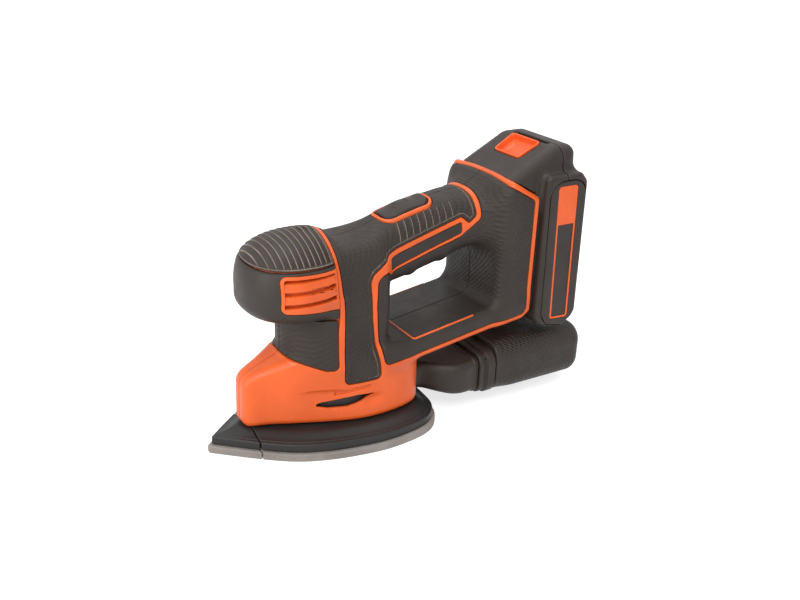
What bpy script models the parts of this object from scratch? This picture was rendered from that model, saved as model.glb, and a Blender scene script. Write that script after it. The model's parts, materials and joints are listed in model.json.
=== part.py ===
"""Cordless detail sander with a pointed orbital pad, a slide-on battery and a dust canister.

Frame: the origin is on the motor's axis, at the sanding face. The pad's tip points to -X, the
battery is at +X, and +Z is up. Lengths are in millimetres and angles in degrees. Each outline is
turned into metres where its mesh is made.
"""
from math import cos, pi, radians, sin, sqrt, tan

import bmesh
import bpy
from mathutils import Matrix, Vector

MM = 0.001
GAP = 0.35              # clearance between neighbouring pieces
SEAM = 0.2              # half the gap between the left and right housing halves
FAR = 90.0              # reaches past the sander's sides

# Pad: two layers of the same outline, with a separate tip
FOAM_TOP = 5.0
PLATEN_BOTTOM = FOAM_TOP + GAP
PLATEN_RIM = 10.6
PLATEN_TOP = 13.6
PLATEN_INSET = 2.0
TIP_SPLIT_X = -50.0
PAD_HALF = [(-75.0, 0.0), (-73.2, 3.0), (-50.0, 23.0), (-33.0, 35.0), (-16.0, 42.0), (2.0, 46.2),
            (23.0, 48.5), (46.0, 46.0), (60.0, 40.0), (69.0, 28.0), (71.5, 12.0), (71.8, 0.0)]

# Drive line
ORBIT = 0.8             # the crank pin's offset: the pad moves on a circle of this radius
SHAFT_R = 3.0
BEARING_R = 11.0
BEARING_H = 7.0
MOTOR_R = 19.5
MOTOR_BOTTOM = 58.0
MOTOR_TOP = 104.0
FAN_R = 21.0
FAN_Z = 42.0
FRAME_Z = 30.0          # underside of the bracket that holds the lower bearing
POSTS = ((-22.0, 11.0), (-22.0, -11.0), (32.0, 17.0), (32.0, -17.0))
POST_R = 4.2
POST_FOOT = 8.2

# Housing
WALL = 2.25
SKIN = 2.0              # thickness of the soft covers on the housing
SKIRT_BOTTOM = 14.6
SKIRT_HALF = [(-56.0, 0.0), (-55.5, 6.0), (-52.0, 9.5), (-40.0, 13.0), (-25.0, 19.5), (1.0, 29.5),
              (21.0, 33.4), (43.0, 31.5), (55.0, 26.0), (60.0, 14.0), (61.0, 0.0)]
NECK_R = 28.0
DOME_BOTTOM = 85.5
DOME_TOP = 134.0
BAR_HALF = 31.8
BLOCK_HALF = 33.6
BLOCK_REAR = 134.4
BLOCK_CREST = (117.0, 153.4)
SWITCH_CENTRE = (55.0, 0.0, 138.1)
SWITCH_SIZE = (18.7, 11.5, 2.3)     # the bezel's half length, half width and rim

# Battery
PACK_FRONT = 140.2
PACK_SEAM = 156.0
PACK_REAR = 174.8
PACK_HALF = 37.6
HEAD_HALF = 30.4
HEAD_TOP = 172.0
HEAD_GAP = 0.9          # between the head's underside and the block's top
SLOPE = radians(28)     # tilt of the head's upper face
FOOT_FALL = 0.547       # how fast the block's top and the head's underside fall to the rear
BUTTON = (141.2, 166.8) # the release button's centre on the slope
BUTTON_TRAVEL = 3.0
CELL_R = 9.2
CELL_LENGTH = 65.0
CELL_X = 158.4
CELL_FIRST_Z = 63.0
CELL_PITCH = 19.2
CELLS = 5

BLADE_Y = (-9.0, 0.0, 9.0)

# Dust canister
COLLAR_X = 101.0
CANISTER_X = 113.3
CANISTER_END = 187.0
CANISTER_HALF = 36.0
CANISTER_BOTTOM = 7.0
CANISTER_TOP = 44.5

COLOURS = {
    "orange": ((0.82, 0.13, 0.03), 0.38, 0.0),
    "soft_grey": ((0.075, 0.068, 0.063), 0.7, 0.0),
    "pack_grey": ((0.07, 0.063, 0.06), 0.6, 0.0),
    "platen_black": ((0.03, 0.03, 0.032), 0.55, 0.0),
    "foam": ((0.38, 0.35, 0.33), 0.95, 0.0),
    "rubber": ((0.02, 0.02, 0.02), 0.8, 0.0),
    "steel": ((0.6, 0.6, 0.62), 0.3, 1.0),
    "copper": ((0.8, 0.42, 0.2), 0.35, 1.0),
    "fan_white": ((0.7, 0.7, 0.68), 0.5, 0.0),
    "board_green": ((0.03, 0.16, 0.07), 0.45, 0.0),
    "cell_blue": ((0.05, 0.16, 0.4), 0.4, 0.0),
    "filter_white": ((0.75, 0.74, 0.7), 0.9, 0.0),
    "wire_red": ((0.5, 0.02, 0.02), 0.5, 0.0),
    "wire_black": ((0.02, 0.02, 0.02), 0.5, 0.0),
}


# ---------------------------------------------------------------- outlines

def mirrored(half):
    """Close a half outline, listed from front to rear with y >= 0, by mirroring it in y."""
    return half + [(x, -y) for x, y in reversed(half) if y > 0]


def smooth(points, steps=3):
    """A closed Catmull-Rom curve through the points."""
    count = len(points)
    curve = []
    for i in range(count):
        a, b, c, d = (Vector(points[(i + k) % count]) for k in (-1, 0, 1, 2))
        for step in range(steps):
            t = step / steps
            curve.append(tuple(0.5 * (2 * b + (c - a) * t + (2 * a - 5 * b + 4 * c - d) * t ** 2
                                      + (3 * b - a - 3 * c + d) * t ** 3)))
    return curve


def rounded(corners, steps=2):
    """A closed outline from corners (x, y, radius), each rounded by an arc."""
    outline = []
    count = len(corners)
    for i, (x, y, radius) in enumerate(corners):
        here = Vector((x, y))
        to_last = (Vector(corners[i - 1][:2]) - here).normalized()
        to_next = (Vector(corners[(i + 1) % count][:2]) - here).normalized()
        if radius <= 0:
            outline.append((x, y))
            continue
        half_angle = to_last.angle(to_next) / 2
        centre = here + (to_last + to_next).normalized() * radius / sin(half_angle)
        start = here + to_last * radius / (sin(half_angle) / cos(half_angle)) - centre
        end = here + to_next * radius / (sin(half_angle) / cos(half_angle)) - centre
        turn = start.angle_signed(end)
        for step in range(steps + 1):
            point = centre + Matrix.Rotation(-turn * step / steps, 2) @ start
            outline.append(tuple(point))
    return outline


def shrink_corners(corners, distance):
    """Set a list of corners (x, y, radius) inwards, before they are rounded."""
    moved = shrink([corner[:2] for corner in corners], distance)
    return [(x, y, max(0.6, corner[2] - distance) if corner[2] else 0)
            for (x, y), corner in zip(moved, corners)]


def box_outline(x0, x1, y0, y1, radius=0.0, steps=2):
    """A rectangle with rounded corners."""
    return rounded([(x0, y0, radius), (x1, y0, radius), (x1, y1, radius), (x0, y1, radius)], steps)


def shrink(outline, distance):
    """Move each side of a closed outline inwards."""
    count = len(outline)
    area = sum(outline[i - 1][0] * outline[i][1] - outline[i][0] * outline[i - 1][1]
               for i in range(count))
    side = 1 if area > 0 else -1
    moved = []
    for i in range(count):
        here = Vector(outline[i])
        first = (here - Vector(outline[i - 1])).normalized()
        second = (Vector(outline[(i + 1) % count]) - here).normalized()
        mean = (first + second).normalized()
        inward = Vector((-mean.y, mean.x)) * side
        stretch = 1 / max(0.4, sqrt((1 + first.dot(second)) / 2))
        moved.append(tuple(here + inward * distance * stretch))
    return moved


def squeeze(outline, distance):
    """Scale an outline that is symmetric in y, so that its extremes move in by the distance."""
    low, high = min(x for x, y in outline), max(x for x, y in outline)
    middle, reach = (low + high) / 2, (high - low) / 2
    half = max(y for x, y in outline)
    return [(middle + (x - middle) * (1 - distance / reach), y * (1 - distance / half))
            for x, y in outline]


def oval(half_width, half_height, power=2.6, count=16):
    """A rounded, slightly squared oval around (0, 0)."""
    outline = []
    for i in range(count):
        c, s = cos(2 * pi * i / count), sin(2 * pi * i / count)
        outline.append((half_width * abs(c) ** (2 / power) * (1 if c > 0 else -1),
                        half_height * abs(s) ** (2 / power) * (1 if s > 0 else -1)))
    return outline


# ---------------------------------------------------------------- objects

def material(name):
    """The named Principled material, made once."""
    found = bpy.data.materials.get(name)
    if found:
        return found
    colour, roughness, metallic = COLOURS[name]
    made = bpy.data.materials.new(name)
    made.use_nodes = True
    shader = made.node_tree.nodes["Principled BSDF"]
    shader.inputs["Base Color"].default_value = (*colour, 1)
    shader.inputs["Roughness"].default_value = roughness
    shader.inputs["Metallic"].default_value = metallic
    made.diffuse_color = (*colour, 1)
    return made


def new_object(name, bm, finish, origin=(0, 0, 0)):
    """Link the mesh as an object whose origin is at the given place."""
    bmesh.ops.remove_doubles(bm, verts=bm.verts, dist=1e-7)
    bmesh.ops.recalc_face_normals(bm, faces=bm.faces)
    place = Vector(origin) * MM
    bmesh.ops.translate(bm, verts=bm.verts, vec=-place)
    mesh = bpy.data.meshes.new(name)
    bm.to_mesh(mesh)
    bm.free()
    mesh.shade_smooth()
    mesh.set_sharp_from_angle(angle=radians(35))
    obj = bpy.data.objects.new(name, mesh)
    obj.location = place
    bpy.context.scene.collection.objects.link(obj)
    if finish:
        mesh.materials.append(material(finish))
    return obj


def loft(name, rings, finish=None, origin=(0, 0, 0), fan=True):
    """A closed solid through rings of points, each end closed by a fan or by one face."""
    bm = bmesh.new()
    loops = [[bm.verts.new(Vector(point) * MM) for point in ring] for ring in rings]
    for low, high in zip(loops, loops[1:]):
        for i in range(len(low)):
            bm.faces.new((low[i - 1], low[i], high[i], high[i - 1]))
    for loop in (loops[0], loops[-1]):
        if not fan:
            bm.faces.new(loop)
            continue
        centre = bm.verts.new(sum((v.co for v in loop), Vector()) / len(loop))
        for i in range(len(loop)):
            bm.faces.new((loop[i - 1], loop[i], centre))
    return new_object(name, bm, finish, origin)


def place_on(axis, a, b, level):
    """A point of an outline that is drawn across the given axis."""
    return {"X": (level, a, b), "Y": (a, level, b), "Z": (a, b, level)}[axis]


def prism(name, outline, axis, low, high, finish=None, origin=(0, 0, 0)):
    """An outline extruded along an axis."""
    rings = [[place_on(axis, a, b, level) for a, b in outline] for level in (low, high)]
    return loft(name, rings, finish, origin, fan=False)


def pillow(name, corners, axis, low, high, edge, finish=None, origin=(0, 0, 0)):
    """A prism from corners (a, b, radius) whose two end faces have rounded edges."""
    rings = []
    for end, inward in ((low, 1), (high, -1)):
        turns = (0, 45, 90) if inward > 0 else (90, 45, 0)
        for turn in turns:
            outline = rounded(shrink_corners(corners, edge * (1 - sin(radians(turn)))))
            level = end + inward * edge * (1 - cos(radians(turn)))
            rings.append([place_on(axis, a, b, level) for a, b in outline])
    return loft(name, rings, finish, origin, fan=False)


def box_corners(x0, x1, y0, y1, radius):
    return [(x0, y0, radius), (x1, y0, radius), (x1, y1, radius), (x0, y1, radius)]


def turned(name, profile, finish=None, centre=(0, 0), axis="Z", segments=18):
    """A profile of (radius, level) points turned about a line along an axis."""
    bm = bmesh.new()
    points = [bm.verts.new(Vector((radius, 0, level)) * MM) for radius, level in profile]
    edges = [bm.edges.new((points[i - 1], points[i])) for i in range(len(points))
             if profile[i - 1][0] > 0 or profile[i][0] > 0]
    bmesh.ops.spin(bm, geom=points + edges, cent=(0, 0, 0), axis=(0, 0, 1), dvec=(0, 0, 0),
                   angle=2 * pi, steps=segments, use_merge=True)
    if axis == "Y":
        bmesh.ops.rotate(bm, verts=bm.verts, matrix=Matrix.Rotation(-pi / 2, 3, "X"))
        shift = (centre[0], 0, centre[1])
    else:
        shift = (centre[0], centre[1], 0)
    bmesh.ops.translate(bm, verts=bm.verts, vec=Vector(shift) * MM)
    return new_object(name, bm, finish, shift)


def combine(target, operation, *tools):
    """Add Boolean modifiers, and keep their operands out of the model."""
    for tool in tools:
        boolean = target.modifiers.new(tool.name, "BOOLEAN")
        boolean.operation = operation
        boolean.solver = "EXACT"
        boolean.object = tool
        tool.hide_render = True
        tool.display_type = "WIRE"
    return target


def half_space(side):
    """A block that holds one side of the sander, short of the seam by SEAM."""
    return prism(f"half_{side}", box_outline(-95, 205, -5, 190), "Y", *across(side))


# ---------------------------------------------------------------- outer form of the housing

def skirt_form(inset, floor):
    """The low body round the pad's drive: steep sides, a sloping prow and a rounded shoulder."""
    plan = mirrored(SKIRT_HALF)
    rings = []
    for share, reduction in ((0.0, 0.0), (0.62, 0.4), (0.86, 2.5), (1.0, 7.5)):
        ring = []
        for x, y in squeeze(plan, inset + reduction):
            rise = min(1.0, max(0.0, (x + 56) / 28))
            top = 45.0 + 11.5 * rise - inset
            ring.append((x, y, floor + share * (top - floor)))
        rings.append(ring)
    return loft(f"skirt_form_{inset:g}", rings)


def neck_form(inset):
    radius = NECK_R - inset
    return turned(f"neck_form_{inset:g}", [(0, 38), (radius, 38), (radius, 96), (0, 96)], segments=24)


def dome_form(inset):
    """The overhanging head: an oval in plan whose front rises to a rounded crown."""
    rings = []
    for level, front, half in ((0.0, -45.0, 27.5), (0.09, -50.8, 31.0), (0.3, -52.4, 33.0),
                               (0.52, -51.6, 32.6), (0.67, -49.6, 30.0), (0.79, -45.0, 25.5),
                               (0.9, -37.0, 18.5), (1.0, -24.0, 9.0)):
        bottom, top = DOME_BOTTOM + inset, DOME_TOP - inset
        rear = 14.0 - 6 * level
        centre, reach = (front + rear) / 2, (rear - front) / 2 - inset
        ring = [(centre + x, y, bottom + level * (top - bottom))
                for x, y in oval(reach, half - inset, 2.3, 20)]
        rings.append(ring)
    return loft(f"dome_form_{inset:g}", rings)


def column_form(inset):
    """The upright between the skirt and the handle."""
    rings = []
    for z, half, rear in ((42, 28, 36), (98, 28, 36), (110, 25.5, 36), (120, 21, 34), (128.5, 14, 30)):
        level = z if z < 120 else z - inset
        outline = box_outline(-8 + inset, rear - inset, -half + inset, half - inset,
                              max(2.0, min(13.0, half * 0.5) - inset))
        rings.append([(x, y, level) for x, y in outline])
    return loft(f"column_form_{inset:g}", rings)


def handle_form(inset):
    """The grip: it rises to the rear, with a steady oval section."""
    rings = []
    for x, top, bottom, half in ((2, 129, 91, 19.5), (30, 131.5, 91.2, 19), (45, 136, 92.3, 19),
                                 (62, 140.5, 96.2, 19), (80, 144, 101, 19), (96, 146, 107, 20.5),
                                 (106, 149, 100, 27), (116, 150.6, 96, 31)):
        section = oval(half - inset, (top - bottom) / 2 - inset)
        rings.append([(x, y, (top + bottom) / 2 + z) for y, z in section])
    return loft(f"handle_form_{inset:g}", rings)


def bar_form(inset):
    """The lower bar, from the skirt to the rear block."""
    corners = [(26, 44, 3), (50, 47.5, 0), (133, 60.5, 3), (133, 74, 0), (118, 72.5, 0),
               (46, 61, 0), (26, 62, 3)]
    return pillow(f"bar_form_{inset:g}", shrink_corners(corners, inset), "Y", -BAR_HALF + inset,
                  BAR_HALF - inset, max(1.0, 4.0 - inset))


def crest_line(x):
    """Height of the block's top, which falls to the rear."""
    return BLOCK_CREST[1] - FOOT_FALL * (x - BLOCK_CREST[0])


def block_form(inset):
    """The rear block that carries the battery."""
    corners = [(110, 60, 4), (110, 147, 5), (BLOCK_CREST[0], BLOCK_CREST[1], 2.5),
               (BLOCK_REAR, crest_line(BLOCK_REAR), 3), (BLOCK_REAR, 63.5, 4)]
    return pillow(f"block_form_{inset:g}", shrink_corners(corners, inset), "Y",
                  -BLOCK_HALF + inset, BLOCK_HALF - inset, max(1.5, 7.0 - inset))


def envelope(inset, floor=SKIRT_BOTTOM):
    """The housing's whole outer form, or the same form set inwards."""
    body = skirt_form(inset, floor)
    return combine(body, "UNION", neck_form(inset), column_form(inset), dome_form(inset),
                   handle_form(inset), bar_form(inset), block_form(inset))


# ---------------------------------------------------------------- soft covers on the housing

def stripe_x(z):
    """Where the front stripe's middle lies at a height: upright, then leaning forward."""
    return 0.3 - 2.5 * max(0.0, (z - 84.0) / 46.0) ** 1.2


def cover_outlines():
    """Side outlines (x, z) of the covers; the stripes are the housing left bare between them."""
    front_stripe = [(stripe_x(z) - 2.4, z) for z in (DOME_BOTTOM - 0.6, 98.0, 110.0, 122.4)]
    head = [(-64.0, 122.4), (-64.0, DOME_BOTTOM - 0.6)] + front_stripe
    palm_edge = stripe_x(123.4) - 2.4
    palm = [(-64.0, 123.4), (palm_edge, 123.4), (palm_edge - 3.5, 150.0), (-64.0, 150.0)]
    neck = rounded([(-60, 84.6, 0), (-60, 59, 0), (-29, 58.2, 2), (-9, 51.2, 5), (-1.6, 51, 3),
                    (-2.0, 84.6, 0)])
    grip = rounded([(3.1, 40.2, 4), (25.4, 41.4, 3), (22.6, 58, 0), (18.6, 79.5, 0),
                    (17.1, 106.4, 9), (32.8, 115.8, 3), (34.4, 119, 3), (88.4, 132.2, 2),
                    (93.2, 129.4, 1.5), (97.0, 134, 4), (96.2, 160, 0), (-0.4, 160, 0),
                    (0.4, 118, 0), (2.6, 90, 0)])
    rear = rounded([(28.8, 49.8, 4), (48, 51, 0), (129.4, 64.4, 5), (129.8, 92, 0),
                    (129.8, 142.6, 4), (114.6, 151, 1), (114.2, 160, 0), (100.2, 160, 0),
                    (100.6, 130, 5), (93.4, 125.2, 3), (87.6, 120.4, 3), (34.6, 105.4, 5),
                    (23.6, 102, 6), (23.4, 88, 0), (24.6, 75, 0)])
    return {"head_cover": head, "palm_grip": palm, "neck_cover": neck, "grip_cover": grip,
            "rear_cover": rear}


GRILLE = rounded([(-39.4, 97.0, 4), (-1.9, 91.6, 0), (-3.2, 118.2, 0), (-39.4, 118.6, 4)])


def rail_outline(clearance):
    """The T-shaped rail channel in plan, or the rail itself with a clearance all round."""
    slot, throat, front, step, rear = 21.0, 16.5, 128.2, 131.8, 150.0
    half = [(front, slot), (step, slot), (step, throat), (rear, throat)]
    outline = half + [(x, -y) for x, y in reversed(half)]
    return shrink(outline, clearance)


def switch_place():
    """The switch lies on top of the handle, along its rise."""
    return (Matrix.Translation(Vector(SWITCH_CENTRE) * MM)
            @ Matrix.Rotation(radians(-15.5), 4, "Y"))


def across(side):
    """The Y range of a piece on one side of the seam, or of one that spans both for side 0."""
    return (-FAR, FAR) if side == 0 else sorted((side * SEAM, side * FAR))


def cover(name, outline, side, outer, inner, finish="soft_grey"):
    """A cover as thick as the space between two envelopes, inside a side outline."""
    piece = prism(name, shrink(outline, GAP), "Y", *across(side), finish)
    return combine(combine(piece, "INTERSECT", outer), "DIFFERENCE", inner)


def make_housing():
    """The two bright halves with their covers, grilles and screws."""
    outer = envelope(0)
    under_cover = envelope(SKIN)
    seat = envelope(SKIN + GAP)
    hollow = envelope(SKIN + GAP + WALL, floor=5.0)
    grille_back = envelope(SKIN + GAP + WALL + 0.4)
    outlines = cover_outlines()
    channel = prism("rail_channel", rail_outline(0.0), "Z", 78, 190)
    blade_window = prism("blade_window", box_outline(120, 130, 98, 130), "Y", -13, 13)
    outlet = prism("dust_outlet", box_outline(-15, 15, 18, 31, 3), "X", 50, 70)
    well_size = (SWITCH_SIZE[0] + 0.5, SWITCH_SIZE[1] + 0.5)
    well = prism("switch_well", box_outline(-well_size[0], well_size[0], -well_size[1],
                                            well_size[1], 8), "Z", -9.6, 30)
    well.matrix_world = switch_place()
    grille_hole = prism("grille_hole", GRILLE, "Y", -FAR, FAR)
    halves = {}
    for side, word in ((-1, "left"), (1, "right")):
        half = half_space(side)
        half.name = f"housing_{word}"
        half.data.materials.append(material("orange"))
        combine(half, "INTERSECT", outer)
        for name, outline in outlines.items():
            pocket = prism(f"{name}_pocket_{side}", outline, "Y", *across(side))
            combine(pocket, "DIFFERENCE", seat)
            combine(half, "DIFFERENCE", pocket)
        combine(half, "DIFFERENCE", hollow, outlet, well, grille_hole)
        low, high = sorted((side * SEAM, side * 27))
        guide = prism(f"rail_guide_{side}", box_outline(125.8, 133, 74, 141), "Y", low, high)
        combine(half, "UNION", guide)
        combine(half, "DIFFERENCE", channel, blade_window)
        halves[side] = half
        for name in ("neck_cover", "grip_cover", "rear_cover"):
            piece = cover(f"{name}_{word}", outlines[name], side, outer, under_cover)
            if name == "grip_cover":
                combine(piece, "DIFFERENCE", well)
        grille = cover(f"vent_grille_{word}", GRILLE, side, outer, grille_back, "orange")
        for z in (100.4, 107.2, 114.0):
            slot = prism(f"louvre_{word}_{z:g}", box_outline(-36, -9, z - 1.2, z + 1.2), "Y",
                         *sorted((side * 15, side * FAR)))
            combine(grille, "DIFFERENCE", slot)
    head = cover("head_cover", outlines["head_cover"], 0, outer, under_cover)
    combine(head, "DIFFERENCE", grille_hole)
    cover("palm_grip", outlines["palm_grip"], 0, outer, under_cover)
    make_housing_screws(halves)


def make_housing_screws(halves):
    """Four screws hold the halves together, driven from the right into bosses on the left."""
    for number, (x, z) in enumerate(((-36.0, 34.0), (54.0, 38.0), (122.0, 82.0), (-38.0, 92.0)), 1):
        for side, half in halves.items():
            boss = turned(f"boss_{number}_{side}",
                          [(0, 0), (4.4, 0), (4.4, side * 40), (0, side * 40)],
                          centre=(x, z), axis="Y", segments=16)
            boss_reach = {1: 10.5, 2: 22.0, 3: 28.0, 4: 12.0}[number]
            trim = prism(f"boss_trim_{number}_{side}", box_outline(-95, 205, -5, 190), "Y",
                         *sorted((side * SEAM, side * boss_reach)))
            combine(boss, "INTERSECT", trim)
            combine(half, "UNION", boss)
        hole = turned(f"screw_hole_{number}", [(0, -9), (1.9, -9), (1.9, 8), (3.9, 8), (3.9, FAR),
                                               (0, FAR)], centre=(x, z), axis="Y", segments=16)
        for opened in (halves[-1], halves[1], bpy.data.objects["rear_cover_right"],
                       bpy.data.objects["head_cover"]):
            combine(opened, "DIFFERENCE", hole)
        turned(f"housing_screw_{number}", [(0, -8), (1.5, -8), (1.5, 8.4), (3.3, 8.4), (3.3, 10.6),
                                           (0, 10.6)], "steel", (x, z), "Y", 12)


# ---------------------------------------------------------------- motor, fan and crank

def make_motor():
    """The still parts of the motor and its bearings."""
    turned("motor_can", [(17.6, MOTOR_BOTTOM), (MOTOR_R, MOTOR_BOTTOM), (MOTOR_R, MOTOR_TOP),
                         (17.6, MOTOR_TOP)], "steel")
    cap_bottom = MOTOR_TOP + GAP
    turned("motor_end_cap", [(8.4, cap_bottom), (MOTOR_R, cap_bottom), (MOTOR_R, cap_bottom + 3),
                             (11, cap_bottom + 3), (11, cap_bottom + 10), (8.4, cap_bottom + 10)],
           "rubber")
    turned("upper_bearing", [(SHAFT_R + GAP, cap_bottom + 2), (8.0, cap_bottom + 2),
                             (8.0, cap_bottom + 8), (SHAFT_R + GAP, cap_bottom + 8)], "steel")
    turned("bearing_bracket", [(BEARING_R + GAP, FRAME_Z), (19.5, FRAME_Z), (19.5, FRAME_Z + 3),
                               (15, FRAME_Z + 3), (15, FRAME_Z + 8), (BEARING_R + GAP, FRAME_Z + 8)],
           "platen_black")
    turned("lower_bearing", [(4.0 + GAP, FRAME_Z), (BEARING_R, FRAME_Z),
                             (BEARING_R, FRAME_Z + BEARING_H), (4.0 + GAP, FRAME_Z + BEARING_H)],
           "steel")
    for side, word in ((-1, "left"), (1, "right")):
        magnet = turned(f"magnet_{word}", [(14.2, 64), (17.2, 64), (17.2, 98), (14.2, 98)], "rubber")
        wedge = prism(f"magnet_wedge_{word}", [(-16, side * 6), (16, side * 6), (26, side * 26),
                                               (-26, side * 26)], "Z", 60, 102)
        combine(magnet, "INTERSECT", wedge)
        prism(f"brush_{word}", box_outline(-2.5, 2.5, 98.6, MOTOR_TOP - 0.5), "Y",
              *sorted((side * 7.4, side * 16.6)), "rubber")


def make_rotor():
    """Everything that spins with the motor's shaft."""
    turned("motor_shaft", [(0, 28.4), (4.0, 28.4), (4.0, 40), (SHAFT_R, 40), (SHAFT_R, 116),
                           (0, 116)], "steel", segments=16)
    turned("rotor_core", [(SHAFT_R + GAP, 66), (13.4, 66), (13.4, 96), (SHAFT_R + GAP, 96)], "copper")
    turned("commutator", [(SHAFT_R + GAP, 97), (7.0, 97), (7.0, MOTOR_TOP - 0.5),
                          (SHAFT_R + GAP, MOTOR_TOP - 0.5)], "copper")
    fan = turned("cooling_fan", [(SHAFT_R + GAP, FAN_Z), (FAN_R, FAN_Z), (FAN_R, FAN_Z + 1.5),
                                 (6, FAN_Z + 1.5), (6, FAN_Z + 9), (SHAFT_R + GAP, FAN_Z + 9)],
                 "fan_white")
    for number in range(9):
        blade = prism(f"blade_{number}", [(5, -0.8), (19, 3.2), (19, 4.8), (5, 0.8)], "Z",
                      FAN_Z + 1, FAN_Z + 8)
        blade.rotation_euler.z = 2 * pi * number / 9
        combine(fan, "UNION", blade)
    crank = turned("crank", [(0, 15.2), (9.5, 15.2), (9.5, 28), (0, 28)], "steel")
    pin = turned("crank_pin", [(0, 6.6), (3.6, 6.6), (3.6, 16), (0, 16)], centre=(ORBIT, 0),
                 segments=20)
    combine(crank, "UNION", pin)
    weight_arc = [(18 * cos(radians(a)), 18 * sin(radians(a))) for a in range(115, 246, 13)]
    prism("counterweight", weight_arc + [(-9.9, -6), (-9.9, 6)], "Z", 19, 26, "steel")


# ---------------------------------------------------------------- pad

def make_pad():
    """Platen, foam, their separate tips, the pad's bearing and the rubber posts."""
    pivot = (ORBIT, 0, 0)
    outline = smooth(mirrored(PAD_HALF), 3)
    rim = squeeze(outline, PLATEN_INSET)
    deck = squeeze(outline, 13.0)
    behind = box_outline(TIP_SPLIT_X + GAP, 90, -60, 60)
    ahead = box_outline(-90, TIP_SPLIT_X - GAP, -60, 60)
    for name, keep, word in (("platen", behind, "main"), ("platen_tip", ahead, "tip")):
        levels = ((PLATEN_BOTTOM, rim), (PLATEN_RIM, rim), (PLATEN_TOP, deck))
        rings = [[(x, y, z) for x, y in ring] for z, ring in levels]
        plate = loft(name, rings, "platen_black", pivot)
        combine(plate, "INTERSECT", prism(f"platen_split_{word}", keep, "Z", -5, 30))
        if word == "main":
            pocket = turned("bearing_pocket", [(0, 6.3), (BEARING_R + GAP, 6.3),
                                               (BEARING_R + GAP, 20), (0, 20)], centre=(ORBIT, 0))
            combine(plate, "DIFFERENCE", pocket)
            for number, (x, y) in enumerate(POSTS, 1):
                reach = POST_R + ORBIT + 0.7
                socket = turned(f"post_socket_{number}", [(0, 7.5), (reach, 7.5), (reach, 20),
                                                          (0, 20)], centre=(x + ORBIT, y), segments=16)
                combine(plate, "DIFFERENCE", socket)
        foam = prism(f"foam_{word}", outline, "Z", 0, FOAM_TOP, "foam", origin=pivot)
        combine(foam, "INTERSECT", prism(f"foam_split_{word}", keep, "Z", -5, 30))
    turned("pad_bearing", [(3.6 + GAP, 6.8), (BEARING_R, 6.8), (BEARING_R, 6.8 + BEARING_H),
                           (3.6 + GAP, 6.8 + BEARING_H)], "steel", (ORBIT, 0))
    for number, (x, y) in enumerate(POSTS, 1):
        turned(f"rubber_post_{number}", [(0, POST_FOOT), (POST_R, POST_FOOT), (3.2, 12), (3.2, 24),
                                         (4.4, 29), (0, 29)], "rubber", (x, y), segments=16)


# ---------------------------------------------------------------- dust path

def dust_ring(x, half, bottom, top, radius):
    return [(x, y, z) for y, z in box_outline(-half, half, bottom, top, radius)]


def make_dust_path():
    """A duct from the skirt, and the canister with its collar and filter."""
    duct = loft("dust_duct", [dust_ring(54, 17.5, 15.5, 34, 5), dust_ring(66, 18.5, 15.5, 34.5, 5),
                              dust_ring(80, 31.5, 13.5, 35, 6),
                              dust_ring(COLLAR_X - GAP, 31.5, 11.5, 36, 6)], "soft_grey")
    bore = loft("duct_bore", [dust_ring(50, 15, 18, 31.5, 4), dust_ring(66, 16, 18, 32, 4),
                              dust_ring(81, 29, 16, 32.5, 5), dust_ring(110, 29, 14, 33.5, 5)])
    combine(duct, "DIFFERENCE", bore, skirt_form(-GAP, 10.0))
    collar = pillow("canister_collar", box_corners(-33.5, 33.5, 8.5, 38.8, 8), "X", COLLAR_X,
                    CANISTER_X - GAP, 1.2, "soft_grey")
    combine(collar, "DIFFERENCE", prism("collar_bore", box_outline(-28, 28, 14, 33.5, 5), "X",
                                        COLLAR_X - 5, CANISTER_X + 5))
    canister = pillow("dust_canister", box_corners(-CANISTER_HALF, CANISTER_HALF, CANISTER_BOTTOM,
                                                   CANISTER_TOP, 12), "X", CANISTER_X,
                      CANISTER_END, 6.0, "soft_grey")
    hollow = prism("canister_hollow", box_outline(-CANISTER_HALF + 8, CANISTER_HALF - 8,
                                                  CANISTER_BOTTOM + 7, CANISTER_TOP - 8, 5), "X",
                   CANISTER_X - 10, CANISTER_END - 4)
    combine(canister, "DIFFERENCE", hollow)
    pleats = []
    count = 12
    for i in range(count + 1):
        pleats.append((118.0 + 3 * (i % 2), -24 + 4.0 * i))
    back = [(x + 6, y) for x, y in reversed(pleats)]
    prism("dust_filter", pleats + back, "Z", 17, 31, "filter_white")


# ---------------------------------------------------------------- switch and wiring

def make_switch():
    """A rocker in a bright bezel on top of the handle, with its switch body and wires."""
    half_length, half_width, rim = SWITCH_SIZE
    bezel = prism("switch_bezel", box_outline(-half_length, half_length, -half_width, half_width, 8),
                  "Z", -9, 6, "orange")
    inner = (half_length - rim, half_width - rim)
    opening = prism("bezel_opening", box_outline(-inner[0], inner[0], -inner[1], inner[1], 6), "Z",
                    -30, 30)
    combine(bezel, "INTERSECT", handle_form(-0.6))
    combine(bezel, "DIFFERENCE", opening)
    play = 0.8
    rocker = pillow("switch_rocker", box_corners(-inner[0] + play, inner[0] - play, -inner[1] + play,
                                                 inner[1] - play, 5.5), "Z", -2.4, 1.9, 1.4,
                    "soft_grey")
    body = prism("switch_body", box_outline(-12, 12, -8, 8), "Z", -22, -4.6, "rubber")
    for piece in (bezel, opening, rocker, body):
        piece.matrix_world = switch_place()
    make_wire("wire_red", "wire_red", 4.5)
    make_wire("wire_black", "wire_black", -4.5)


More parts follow.
